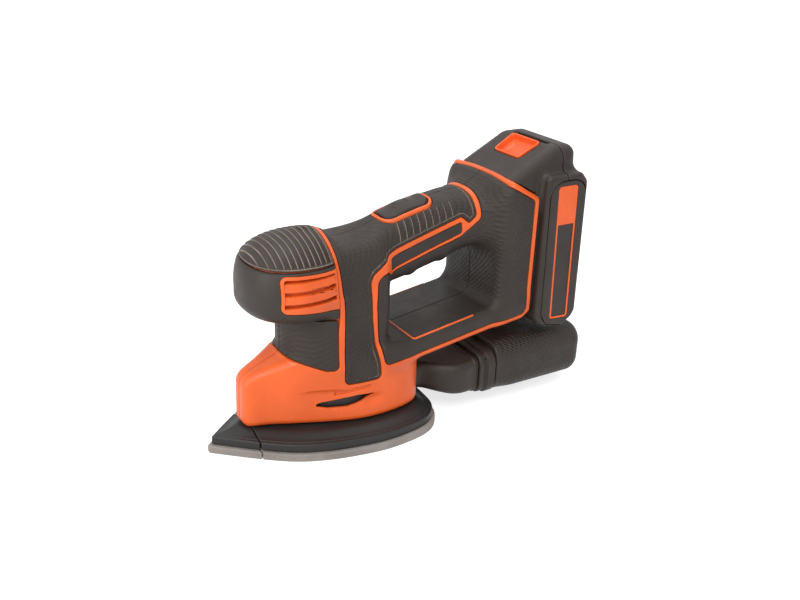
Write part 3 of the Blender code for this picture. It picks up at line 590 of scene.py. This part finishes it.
def grip_ribs(x, y, z, edge):
    """Thin ribs beside the switch and a line on the column: their height, and where the ribs get a
    painted highlight.
    """
    place = (x - SIDE_RIBS[0]) / SIDE_RIBS[1]
    near = np.abs(place - np.round(place)) * SIDE_RIBS[1]
    inside = ease(-edge, 3, 3.6) * ease(np.abs(y), 11.8, 12.8) * (np.abs(place - 4) < 4.3)
    line = ridge(z - COLUMN_LINE, 0.4) * (x < 20) * ease(-edge, 3, 3.4)
    return 0.4 * np.maximum(ridge(near, 0.4) * inside, 0.5 * line), 0.5 * inside


EXTRAS = {"palm_grip": palm_ribs, "grip_cover": grip_ribs}


def cover(name, side):
    """A soft cover: the skin between the outer form and the shell, inside its outline."""
    outline = COVERS[name]

    def field(x, y, z):
        form = body(x, y, z)
        edge = outline(x, z)
        top = form - bead_on(name, edge, z)
        if name in EXTRAS:
            top = top - EXTRAS[name](x, y, z, edge)[0]
        made = without(both(top, edge + GAP, 0.9), form + SKIN)
        if name == "grip_cover":
            made = without(made, switch_well(x, y, z), 0.4)
        if name == "rear_cover":
            made = both(made, x - BLOCK_LIP + 2)
        if name in ("rear_cover", "head_cover"):
            made = without(made, screw_holes(x, y, z))
        if name == "head_cover":
            made = without(made, GRILLE(x, z), 0.3)
        return made if side == 0 else both(made, one_side(y, side), 0.35)
    return field


def cover_highlight(name):
    """Where a cover gets a painted highlight: 0.5 on its ribs' crests, and 1 on its bead."""
    def marks(x, y, z):
        edge = COVERS[name](x, z)
        painted_highlight = bead_on(name, edge, z) / BEAD_HEIGHT
        if name == "grip_cover":
            # the painted highlight is weaker on the front of the column
            painted_highlight = painted_highlight * (0.15 + 0.85 * ease(x, 10, 24))
        if name in EXTRAS:
            painted_highlight = np.maximum(painted_highlight, EXTRAS[name](x, y, z, edge)[1])
        return painted_highlight
    return marks


LOUVRE_PITCH = 7.4
LOUVRE_TOP = 115.2
LOUVRE_BOTTOM = 98.4
LOUVRE_RISE = 0.02      # how fast the louvres rise rearwards


def grille(side):
    """A framed vent with louvres: each leans out to a lip over the slot below it."""
    def field(x, y, z):
        form = body(x, y, z)
        edge = GRILLE(x, z) + 0.15
        height = z - LOUVRE_RISE * (x + 22)
        inside = both(edge + 1.8, between(height, LOUVRE_BOTTOM, LOUVRE_TOP))
        level = (LOUVRE_TOP - height) / LOUVRE_PITCH
        down = level - np.floor(level)
        lip = ease(down, 0.92, 1)
        depth = 0.3 + 2.6 * np.maximum(ease(-down, -0.36, -0.2), lip) + 0.7 * (1 - down + lip)
        made = both(both(form, edge, 0.6), -form - 4.6)
        made = without(without(made, both(inside, -form - depth), 0.25), screw_holes(x, y, z))
        return both(made, one_side(y, side))
    return field


def handle_plate(side):
    """The blank dark plate let into the side of the handle."""
    def field(x, y, z):
        form = body(x, y, z)
        made = both(both(form + 0.45, LABEL_WINDOW(x, z) + 0.3, 0.5), -form - SKIN)
        return both(made, 5 - side * y)
    return field


def slot_shade_sheet(side):
    """A dark sheet in the wall behind the skirt's slot: painted shade for the inside of the slot.
    """
    def field(x, y, z):
        form = body(x, y, z)
        made = both(both(SLOT(x, z) - 1.1, form + 3), -form - 4.2)
        return both(made, 20 - side * y)
    return field


BAR_TRIM = (49, 94, 29.6)   # the trim's front, its rear ends, and its half width


def bar_trim(x, y, z):
    """A thin bright line that frames the bar's top on three sides."""
    front, rear, half = BAR_TRIM
    form = body(x, y, z)
    line = np.abs(plate(x, y, front, rear + 30, -half, half, 2)) - 0.55
    made = both(both(line, form - 0.35, 0.3), -form - 0.8)
    return both(made, both(x - rear, 56 - z))


# ---- battery

PACK_SEAM = 156         # where the front and rear shells meet
PACK_WALL = 2.2
PACK_HALF = 37.6
PLATE_DEPTH = 1.6       # thickness of the plates on the battery's sides
PACK_SIDE = Outline(rounded([(140.2, 56, 8), (148, 51.5, 3), (163, 47.8, 4), (174.8, 57, 7),
                             (173.3, 150, 6), (168.3, 155.5, 4), (140.2, 155.5, 3)]))
HEAD_HALF = 30.4
HEAD_TOP = 171.4
SLOPE = radians(28)     # tilt of the head's upper face
BUTTON_CENTRE = (141.2, 0, 166.8)
HEAD_FOOT = crest_line(0) + 0.9
HEAD_RISE = tan(SLOPE)
HEAD_NOSE = ((HEAD_FOOT - BUTTON_CENTRE[2] + BUTTON_CENTRE[0] * HEAD_RISE)
             / (HEAD_RISE + CREST_FALL))
HEAD_SIDE = Outline(rounded([
    (HEAD_NOSE - 14, HEAD_FOOT - CREST_FALL * HEAD_NOSE - 14 * HEAD_RISE, 0),
    (BUTTON_CENTRE[0] + (HEAD_TOP - BUTTON_CENTRE[2]) / HEAD_RISE, HEAD_TOP, 12),
    (168.3, HEAD_TOP, 6), (171.8, 130, 0), (BLOCK_LIP + 0.6, 126, 0)]))
SIDE_PLATE = Outline(rounded([(142.2, 152, 11), (171.8, 152, 11), (173.3, 56, 8), (163, 49.4, 6),
                              (149, 52.8, 6), (143.8, 60, 9)]))
LABEL = Outline(rounded([(148.6, 148.4, 2.5), (164.6, 148.4, 2.5), (167.2, 55.6, 2.5),
                         (151.8, 56.4, 2.5)]))
TERMINALS = (-9, 0, 9)  # where the slots for the terminals' blades are
LABEL_SPLIT = 122.5     # the label is solid above this height, and framed below it
BUTTON_PLAN = Outline(rounded([(-9.4, -13.2, 3), (10.2, -14.8, 3), (10.2, 14.8, 3),
                               (-9.4, 13.2, 3)]))


def pack(x, y, z):
    """The battery's outer form, without its side plates."""
    across = np.abs(y)
    body_form = both(PACK_SIDE(x, z), across - PACK_HALF, 3.5)
    head = both(HEAD_SIDE(x, z), across - HEAD_HALF, 9)
    head = without(head, both(0.88 * (z - HEAD_FOOT + CREST_FALL * x), x - BLOCK_LIP - 0.6), 0.5)
    flange = both(plate(x, z, 135.2, 146, 66, 152, 2), across - 31, 2)
    return np.minimum(blend(body_form, head, 5), flange)


def side_plate_seat(x, y, z):
    return both(SIDE_PLATE(x, z), PACK_HALF - PLATE_DEPTH - np.abs(y))


def thumb_slot(x, y, z):
    """The dark slot behind the release button."""
    return both(plate(x, y, 151.6, 155.4, -17.5, 17.5, 1.5), 160 - z, 1)


def battery_front(x, y, z):
    form = pack(x, y, z)
    rail = both(rail_channel(x, y, z, 0.7), both(between(z, 84, 147), x - 137.5))
    made = either(both(form, x - PACK_SEAM + 0.25, 0.8), rail, 0.5)
    made = without(made, form + PACK_WALL)
    made = without(made, side_plate_seat(x, y, z))
    u, v, w = on_slope(x, y, z, BUTTON_CENTRE, SLOPE)
    made = without(made, both(BUTTON_PLAN(u, v), np.abs(w) - 12), 0.5)
    # the bar under the button that its spring rests on
    seat = both(plate(u, v, -4, 4, 1 - HEAD_HALF, HEAD_HALF - 1, 0.5), between(w, -16.05, -14.05))
    made = np.minimum(made, both(seat, x - PACK_SEAM + 0.25))
    made = without(made, thumb_slot(x, y, z), 0.6)
    for blade in TERMINALS:
        made = without(made, both(np.abs(y - blade) - 1.1, both(between(x, 120, 134), z - 127)))
    return made


def battery_rear(x, y, z):
    form = pack(x, y, z)
    made = without(both(form, PACK_SEAM + 0.25 - x, 0.8), form + PACK_WALL)
    return without(made, side_plate_seat(x, y, z))


def side_plate(side):
    """The raised plate on one side of the battery, with a sunk label."""
    def field(x, y, z):
        across = side * y
        made = both(both(SIDE_PLATE(x, z) + 0.6, across - PACK_HALF, 0.9),
                    PACK_HALF - PLATE_DEPTH + 0.1 - across)
        return without(made, both(LABEL(x, z), PACK_HALF - 0.7 - across), 0.25)
    return field


def label_shape(side):
    """The bright part of the label: a solid top and a frame under it."""
    def field(x, y, z):
        edge = LABEL(x, z) + 0.1
        opening = both(edge + 1.4, z - LABEL_SPLIT)
        depth = between(side * y, PACK_HALF - 0.65, PACK_HALF - 0.25)
        return both(without(edge, opening), depth, 0.12)
    return field


def release_button(x, y, z):
    u, v, w = on_slope(x, y, z, BUTTON_CENTRE, SLOPE)
    edge = BUTTON_PLAN(u, v) + 0.45
    dish = 3.8 * ease(-edge, 0.8, 2.4) + 0.6 * ease(-edge, 2.4, 8)
    return both(both(edge, w + dish - 0.9, 0.5), -5.5 - w)


# ---- dust path

COLLAR_X = 101
CANISTER_X = 113.3
CANISTER_END = 187
DUCT_HALF = curve([(54, 17.5), (66, 18.5), (73, 25.5), (80, 31), (101, 31.5)])
DUCT_BOTTOM = curve([(54, 15.5), (66, 15.5), (80, 13.5), (101, 11.5)])
DUCT_TOP = curve([(54, 34), (66, 34.5), (80, 35), (101, 36)])


def tube(y, z, half, bottom, top, radius):
    """A rounded rectangle about the X axis, whose sizes may change along it."""
    return plate(y, z, -half, half, bottom, top, radius)


def dust_duct(x, y, z):
    half, bottom, top = DUCT_HALF(x), DUCT_BOTTOM(x), DUCT_TOP(x)
    outer = tube(y, z, half, bottom, top, 5.5)
    rib = 0.7 * ridge(x - 97.6, 1)
    made = both(outer - rib, between(x, 54, COLLAR_X - GAP), 0.8)
    bore = tube(y, z, half - 2.5, bottom + 2.5, top - 2.5, 4)
    made = without(made, bore)
    return without(made, SKIRT_PLAN(x, y) - GAP)


def canister_collar(x, y, z):
    step = 1.1 * ease(x, 106.4, 106.9) - 0.9 * ridge(x - 105.6, 0.7)
    outer = tube(y, z, 33, 9, 38.6, 9) - step
    made = both(outer, between(x, COLLAR_X, CANISTER_X - GAP), 0.9)
    return without(made, tube(y, z, 28, 14, 33.5, 5))


def dust_canister(x, y, z):
    swell = 1.3 * ease(-x, -132, -CANISTER_X)
    outer = tube(y, z, 36, 7, 44.5, 13) + swell
    made = both(outer, x - CANISTER_END, 9)
    made = both(made, CANISTER_X - x, 1.2)
    hollow = both(tube(y, z, 28, 14, 36.5, 5), x - CANISTER_END + 4)
    return without(made, hollow)


# ---- pad

FOAM_TOP = 5
TIP_SPLIT = -50
ORBIT = 0.8
POSTS = ((-22, 11), (-22, -11), (32, 17), (32, -17))
POST_SOCKET_R = 5.7
BEARING_SOCKET_R = 11.35
PAD_PLAN = Outline(smooth(mirrored([
    (-75, 0), (-73.2, 3), (-50, 23), (-33, 35), (-16, 42), (2, 46.2),
    (23, 48.5), (46, 46), (60, 40), (69, 28), (71.5, 12), (71.8, 0)])))
DUST_HOLE_R = 4
DUST_HOLES = [(x, side * y) for x, y in ((-34, 13), (-8, 27), (24, 33), (50, 20))
              for side in (1, -1)]


def tip_side(x, tip):
    """Which side of the slit a piece of the pad lies on."""
    return x - TIP_SPLIT + GAP if tip else TIP_SPLIT + GAP - x


def platen(tip):
    def field(x, y, z):
        edge = PAD_PLAN(x, y) + 2
        rise = 10.6 + 3 * ease(-edge, 2.2, 11) + 0.5 * ease(-edge, 2, 2.5)
        made = both(edge, z - rise, 1)
        made = both(made, FOAM_TOP + GAP - z, 0.4)
        made = both(made, tip_side(x, tip), 0.5)
        if not tip:
            made = without(made, both(np.hypot(x - ORBIT, y) - BEARING_SOCKET_R, 6.3 - z))
            for px, py in POSTS:
                socket = np.hypot(x - px - ORBIT, y - py) - POST_SOCKET_R
                made = without(made, both(socket, 7.5 - z))
        return made
    return field


def foam(tip):
    def field(x, y, z):
        made = both(PAD_PLAN(x, y), between(z, 0, FOAM_TOP), 0.7)
        made = both(made, tip_side(x, tip), 0.4)
        for hx, hy in DUST_HOLES:
            made = without(made, np.hypot(x - hx, y - hy) - DUST_HOLE_R, 0.5)
        return made
    return field


# ---- switch

def switch_bezel(x, y, z):
    u, v, w = on_slope(x, y, z, SWITCH_CENTRE, SWITCH_SLOPE)
    made = both(switch_plan(u, v, 0), body(x, y, z) - 0.6, 0.7)
    made = both(made, -9 - w)
    return without(made, switch_plan(u, v, BEZEL_RIM), 0.6)


def switch_rocker(x, y, z):
    """The rocker follows the handle's top, with two thumb scoops and the signs for off and on."""
    u, v, w = on_slope(x, y, z, SWITCH_CENTRE, SWITCH_SLOPE)
    crown = 1.7 - 0.6 * ridge(np.abs(u) - 9.5, 4.5) - 0.012 * v * v
    ring = np.abs(np.hypot(u + 4.2, v / 1.3) - 1.9) - 0.35
    bars = plate(u, v, 3.9, 4.5, -2.6, 2.6, 0.3)
    signs = 0.35 * ease(-np.minimum(ring, bars), -0.2, 0.2)
    made = both(switch_plan(u, v, BEZEL_RIM + 0.7), body(x, y, z) - crown - signs, 1)
    return both(made, -2.4 - w, 0.5)


# ---- materials

class Nodes:
    """A short way to write a material's node tree."""

    def __init__(self, name):
        self.material = bpy.data.materials.new(name)
        self.material.use_nodes = True
        self.tree = self.material.node_tree
        self.shader = self.tree.nodes["Principled BSDF"]
        self.place = self.add("ShaderNodeTexCoord").outputs["Object"]

    def add(self, kind, inputs=(), **settings):
        node = self.tree.nodes.new(kind)
        for key, value in settings.items():
            setattr(node, key, value)
        for key, value in dict(inputs).items():
            if isinstance(value, bpy.types.NodeSocket):
                self.tree.links.new(value, node.inputs[key])
            else:
                node.inputs[key].default_value = value
        return node

    def math(self, operation, a, b=0.0, c=0.0):
        return self.add("ShaderNodeMath", {0: a, 1: b, 2: c}, operation=operation).outputs[0]

    def noise(self, scale, detail=3.0):
        return self.add("ShaderNodeTexNoise", {"Vector": self.place, "Scale": scale,
                                               "Detail": detail}).outputs["Fac"]

    def span(self, value, low, high, to_low=0.0, to_high=1.0):
        """The value carried smoothly from one range to another."""
        return self.add("ShaderNodeMapRange", {"Value": value, "From Min": low, "From Max": high,
                                               "To Min": to_low, "To Max": to_high},
                        interpolation_type="SMOOTHSTEP").outputs["Result"]

    def along(self, direction):
        """Distance along a direction, in millimetres."""
        scaled = tuple(part / MM for part in Vector(direction).normalized())
        return self.add("ShaderNodeVectorMath", {0: self.place, 1: scaled},
                        operation="DOT_PRODUCT").outputs["Value"]

    def wave(self, direction, pitch):
        """A sine wave along a direction."""
        return self.math("SINE", self.math("MULTIPLY", self.along(direction), 2 * pi / pitch))

    def mix(self, share, first, second):
        node = self.add("ShaderNodeMix", data_type="RGBA")
        for socket, value in zip((node.inputs[0], node.inputs[6], node.inputs[7]),
                                 (share, first, second)):
            if isinstance(value, bpy.types.NodeSocket):
                self.tree.links.new(value, socket)
            else:
                socket.default_value = value
        return node.outputs[2]

    def feed(self, name, value):
        self.tree.links.new(value, self.shader.inputs[name])

    def bump(self, height, depth, under=None):
        """A bump from a height of 0 to 1 that stands for a depth in millimetres."""
        inputs = {"Height": height, "Distance": depth * MM, "Strength": 1.0}
        if under is not None:
            inputs["Normal"] = under
        return self.add("ShaderNodeBump", inputs).outputs["Normal"]


SPECULAR = 0.3
HIGHLIGHT_GAIN = 9.0       # how much lighter the painted highlight on raised lines is than the plastic round it


def shade(colour, factor):
    return (*(min(1.0, part * factor) for part in colour), 1.0)


def moulded(name, colour, roughness, grain=0.02, wear=1.35, cross_hatch=None, lines=None,
            metallic=0.0, variation=0.12, grain_scale=1500.0, coat=0.0, crests=None):
    """Moulded plastic, rubber or metal: cloudy colour, a fine grain, worn edges with a painted
    highlight, and painted highlights on raised lines.

    cross_hatch is (pitch, depth, mask) of two crossing sets of ridges, where mask(nodes) says where
    they are, or is None for everywhere; lines is (direction, pitch, depth) of one set of fine
    ridges; and the last argument is (start, pitch, share) of ribs across the tool, whose crests get
    a painted highlight at that share of each pitch.
    """
    nodes = Nodes(name)
    cloud = nodes.span(nodes.noise(28.0, 4.0), 0.3, 0.7)
    tone = nodes.mix(cloud, shade(colour, 1 - variation), shade(colour, 1 + variation))
    speckle = nodes.span(nodes.noise(900.0, 2.0), 0.35, 0.75)
    tone = nodes.mix(nodes.math("MULTIPLY", speckle, 0.25), tone, shade(colour, 0.78))
    # convex edges are painted lighter in patches: partly wear, partly a painted highlight
    edge = nodes.span(nodes.add("ShaderNodeNewGeometry").outputs["Pointiness"], 0.515, 0.56)
    scuffs_and_edge_highlight = nodes.math("MULTIPLY", edge, nodes.span(nodes.noise(160.0, 3.0), 0.35, 0.6, 0.35, 1.0))
    tone = nodes.mix(scuffs_and_edge_highlight, tone, shade(colour, wear))
    # painted highlight: raised lines are painted lighter, fully on the covers' beads and as thin
    # lines on the ribs' crests
    painted_highlight = nodes.add("ShaderNodeAttribute", attribute_name="painted_highlight").outputs["Fac"]
    line_highlight = nodes.span(painted_highlight, 0.5, 1.0)
    if crests:
        start, pitch, place = crests
        step = nodes.math("DIVIDE", nodes.math("SUBTRACT", nodes.along((1, 0, 0)), start), pitch)
        away = nodes.math("PINGPONG", nodes.math("SUBTRACT", step, place), 0.5)
        line = nodes.span(away, 0.1 / pitch, 0.34 / pitch, 1.0, 0.0)
        crest = nodes.math("MULTIPLY", line, nodes.span(painted_highlight, 0.1, 0.5))
        line_highlight = nodes.math("MAXIMUM", line_highlight, crest)
    # the painted highlight, broken up in patches
    patchy = nodes.span(nodes.noise(60.0, 2.0), 0.3, 0.7, 0.45, 0.95)
    tone = nodes.mix(nodes.math("MULTIPLY", line_highlight, patchy), tone, shade(colour, HIGHLIGHT_GAIN))
    nodes.feed("Base Color", tone)
    nodes.feed("Roughness", nodes.span(nodes.noise(90.0, 3.0), 0.25, 0.75, roughness - 0.06,
                                       roughness + 0.06))
    for socket, value in (("Metallic", metallic), ("Coat Weight", coat),
                          ("Specular IOR Level", SPECULAR)):
        nodes.shader.inputs[socket].default_value = value
    normal = nodes.bump(nodes.noise(grain_scale, 2.0), grain)
    if cross_hatch:
        pitch, depth, mask = cross_hatch
        waves = [nodes.math("MULTIPLY_ADD", nodes.wave(direction, pitch), 0.5, 0.5)
                 for direction in ((1, 1, 1), (1, 1, -1))]
        height = nodes.math("MULTIPLY", *waves)
        if mask is not None:
            height = nodes.math("MULTIPLY", height, mask(nodes))
        normal = nodes.bump(height, depth, normal)
    if lines:
        direction, pitch, depth = lines
        normal = nodes.bump(nodes.wave(direction, pitch), depth / 2, normal)
    nodes.feed("Normal", normal)
    return nodes.material


def rear_hatch(nodes):
    """The rear covers are textured on the block's sides and plain elsewhere."""
    behind = nodes.span(nodes.along((1, 0, 0)), 96.0, 101.0)
    above = nodes.span(nodes.along((0.35, 0, 1)), 106.0, 109.0)
    return nodes.math("MULTIPLY", behind, above)


ORANGE = (0.56, 0.083, 0.013)
WARM_GREY = (0.0225, 0.0162, 0.0128)


def look(colour, roughness, **more):
    """What moulded() needs to know of a material."""
    return dict(colour=colour, roughness=roughness, **more)


def orange(roughness=0.36):
    return look(ORANGE, roughness, grain=0.012, wear=1.12)


def grey(roughness, wear, grain=0.02, **more):
    return look(WARM_GREY, roughness, wear=wear, grain=grain, **more)


def canister_hatch(nodes):
    """The canister is textured behind its plain front edge."""
    return nodes.span(nodes.along((1, 0, 0)), 116.0, 117.0)


FINISHES = {
    "housing_orange": orange(),
    "grille_orange": orange(0.38),
    "bezel_orange": orange(),
    "button_orange": look((0.60, 0.075, 0.012), 0.34, grain=0.01, wear=1.3),
    # the rib entries place painted highlights on the ribs' crests
    "cover_grey": grey(0.58, 1.9, 0.03, cross_hatch=(2.0, 0.3, None), crests=(*SIDE_RIBS, 0.0)),
    "rear_grey": grey(0.56, 1.6, 0.03, cross_hatch=(2.0, 0.28, rear_hatch)),
    "palm_grey": grey(0.55, 2.0, 0.03, crests=(*PALM_RIBS, 0.14)),
    "head_grey": grey(0.5, 1.6),
    "rocker_grey": grey(0.55, 2.2),
    "dust_grey": grey(0.5, 1.5),
    "canister_grey": grey(0.5, 1.5, cross_hatch=(1.9, 0.55, canister_hatch)),
    "pack_grey": grey(0.5, 1.6, 0.025),
    "platen_black": look((0.016, 0.0145, 0.014), 0.45, grain=0.02, wear=1.6),
    "foam_grey": look((0.2, 0.178, 0.162), 0.95, grain=0.35, wear=1.0, grain_scale=700.0,
                      variation=0.2),
    "post_rubber": look((0.02, 0.02, 0.02), 0.7),
    "steel": look((0.6, 0.6, 0.62), 0.3, metallic=1.0, wear=1.0, lines=((0, 0, 1), 0.35, 0.01)),
    "screw_steel": look((0.3, 0.3, 0.31), 0.38, metallic=1.0, wear=1.3),
    "magnet": look((0.08, 0.08, 0.09), 0.6, grain=0.04),
    "carbon": look((0.03, 0.03, 0.03), 0.65, grain=0.04),
    "black_plastic": look((0.025, 0.025, 0.027), 0.5),
    "bracket_plastic": look((0.045, 0.045, 0.05), 0.55, grain=0.04),
    "windings": look((0.72, 0.3, 0.12), 0.35, metallic=0.8, lines=((0, 0, 1), 0.8, 0.25)),
    "commutator_copper": look((0.8, 0.42, 0.2), 0.3, metallic=1.0, lines=((1, 1, 0), 1.6, 0.1)),
    "fan_plastic": look((0.66, 0.66, 0.63), 0.45),
    "board_green": look((0.02, 0.14, 0.06), 0.35, coat=0.4),
    "cell_wrap": look((0.04, 0.13, 0.36), 0.3, coat=0.3),
    "filter_paper": look((0.72, 0.7, 0.64), 0.95, grain=0.12, wear=1.0),
    "wire_red": look((0.5, 0.02, 0.02), 0.45),
    "wire_black": look((0.02, 0.02, 0.02), 0.45),
    "label_orange": look((0.58, 0.082, 0.013), 0.4, grain=0.008, wear=1.1),
}
MATERIALS = {name: moulded(name, **values) for name, values in FINISHES.items()}


# ---- pieces on their bodies

def build(name, field, low, high, step, body_name, slot, finish=None, keep=0.3, stands_for=True,
          painted_highlight=None):
    """Draw a field as a piece on its body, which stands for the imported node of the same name."""
    obj = solid(name, field, low, high, step, MATERIALS[finish or slot], keep, painted_highlight)
    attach(obj, body_name)
    if stands_for:
        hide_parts(name)


def side_box(side, x0, x1, reach, z0, z1, inner=-0.6):
    """A box on one side of the seam."""
    low, high = sorted((side * inner, side * reach))
    return (x0, low, z0), (x1, high, z1)


def make_housing():
    for side, word in SIDES:
        build(f"housing_{word}", shell(side), *side_box(side, -60, 139, 38, 12, 160), 0.58,
              "housing", "housing_orange", keep=0.36)
        for name, box, step, finish in (("neck_cover", (-44, 2, 38, 46, 88), 0.45, "cover_grey"),
                                        ("grip_cover", (-4, 103, 38, 36, 156), 0.38, "cover_grey"),
                                        ("rear_cover", (20, 137, 38, 46, 158), 0.45, "rear_grey")):
            build(f"{name}_{word}", cover(name, side), *side_box(side, *box), step, "housing",
                  "cover_grey", finish, painted_highlight=cover_highlight(name))
        build(f"vent_grille_{word}", grille(side), *side_box(side, -44, 1, 38, 88, 122), 0.4,
              "housing", "grille_orange")
        build(f"handle_plate_{word}", handle_plate(side), *side_box(side, 34, 92, 26, 104, 132, 4),
              0.4, "housing", "head_grey", stands_for=False)
        # a dark sheet in the slot that paints the shade inside it
        build(f"slot_shade_sheet_{word}", slot_shade_sheet(side), *side_box(side, -22, 28, 36, 20, 38, 16),
              0.4, "housing", "platen_black", stands_for=False)
    build("head_cover", cover("head_cover", 0), (-60, -37, 82), (4, 37, 126), 0.6, "housing",
          "head_grey")
    build("palm_grip", cover("palm_grip", 0), (-58, -37, 115), (2, 37, 139), 0.36, "housing",
          "palm_grey", painted_highlight=cover_highlight("palm_grip"))
    build("bar_trim", bar_trim, (46, -33, 56), (96, 33, 76), 0.35, "housing", "housing_orange",
          stands_for=False)


def make_switch():
    build("switch_bezel", switch_bezel, (34, -14, 122), (76, 14, 150), 0.4, "housing",
          "bezel_orange")
    build("switch_rocker", switch_rocker, (36, -12, 128), (74, 12, 150), 0.32, "switch",
          "rocker_grey")


def make_battery():
    build("battery_front", battery_front, (114, -40, 44), (158, 40, 176), 0.65, "battery",
          "pack_grey")
    build("battery_rear", battery_rear, (154, -40, 44), (178, 40, 176), 0.7, "battery", "pack_grey")
    for side, word in SIDES:
        build(f"battery_side_plate_{word}", side_plate(side),
              *side_box(side, 138, 178, 40, 44, 156, inner=34), 0.5, "battery", "pack_grey",
              keep=0.2, stands_for=False)
        build(f"battery_label_{word}", label_shape(side),
              *side_box(side, 144, 172, 39, 50, 154, inner=35.5), 0.3, "battery", "pack_grey",
              "label_orange", keep=0.15, stands_for=False)
    build("release_button", release_button, (128, -18, 150), (158, 18, 178), 0.4, "latch",
          "button_orange")


def make_dust_path():
    build("dust_duct", dust_duct, (52, -36, 8), (104, 36, 40), 0.7, "housing", "dust_grey")
    build("canister_collar", canister_collar, (99, -38, 4), (115, 38, 43), 0.6, "dust_box",
          "dust_grey")
    build("dust_canister", dust_canister, (111, -40, 3), (190, 40, 48), 0.7, "dust_box",
          "dust_grey", "canister_grey")


def make_pad():
    for name, tip, low, high in (("", False, -52, 76), ("_tip", True, -78, -48)):
        build(f"platen{name}", platen(tip), (low, -51, 3.5), (high, 51, 16), 0.6, "pad",
              "platen_black")
        build(f"foam{name or '_main'}", foam(tip), (low, -52, -2), (high, 52, 7), 0.6, "pad",
              "foam_grey")


def dress_packed_nodes():
    """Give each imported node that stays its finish."""
    for part in frame["record"]["subparts"]:
        obj = frame["nodes"][part["node"]]
        if not obj.hide_render:
            obj.data.materials.clear()
            obj.data.materials.append(MATERIALS[part["material_slot"]])


# ---- floor, light and camera

FLOOR_SIZE = 8.0
FLOOR_GLOW = 0.72


def make_stage():
    """A wide pale floor under an even white sky."""
    nodes = Nodes("floor_white")
    nodes.feed("Base Color", nodes.mix(nodes.noise(3.0), (0.36, 0.36, 0.36, 1), (0.4, 0.4, 0.4, 1)))
    nodes.shader.inputs["Roughness"].default_value = 0.9
    nodes.shader.inputs["Emission Color"].default_value = (1.0, 1.0, 1.0, 1.0)
    nodes.shader.inputs["Emission Strength"].default_value = FLOOR_GLOW
    bpy.ops.mesh.primitive_plane_add(size=FLOOR_SIZE)
    floor = bpy.context.object
    floor.name = "floor"
    floor.data.materials.append(nodes.material)
    world = bpy.data.worlds.new("studio")
    world.use_nodes = True
    sky = world.node_tree.nodes["Background"].inputs
    sky["Color"].default_value = (0.98, 0.98, 0.98, 1)
    sky["Strength"].default_value = 1.0
    bpy.context.scene.world = world
    bpy.context.scene.view_settings.view_transform = "Standard"


def make_light(name, place, target, size, power):
    data = bpy.data.lights.new(name, "AREA")
    data.shape = "DISK"
    data.size = size
    data.energy = power
    light = placed(name, data)
    light.location = place
    light.rotation_euler = (Vector(target) - Vector(place)).to_track_quat("-Z", "Y").to_euler()


def make_lights():
    middle = (0.05, 0, 0.09)
    make_light("key", (-0.7, -0.9, 1.5), middle, 1.0, 18)
    make_light("top", (0.3, 0.4, 1.6), middle, 1.4, 12)
    make_light("front", (-0.9, -0.2, 0.4), middle, 0.8, 5)


CAMERA_TURN = radians(32.374)
CAMERA_TILT = radians(23.381)
CAMERA_ROLL = radians(2.257)
CAMERA_PLACE = (-0.2394, -0.4676, 0.3139)
LENS = 42.28


def make_camera():
    data = bpy.data.cameras.new("camera")
    data.lens = LENS
    data.sensor_width = 36.0
    data.clip_start = 0.01
    camera = placed("camera", data)
    turned = (Matrix.Rotation(-CAMERA_TURN, 4, "Z") @ Matrix.Rotation(pi / 2 - CAMERA_TILT, 4, "X")
              @ Matrix.Rotation(CAMERA_ROLL, 4, "Z"))
    camera.matrix_world = Matrix.Translation(CAMERA_PLACE) @ turned
    bpy.context.scene.camera = camera


make_camera()
make_lights()
make_stage()
make_housing()
make_switch()
make_battery()
make_dust_path()
make_pad()
dress_packed_nodes()
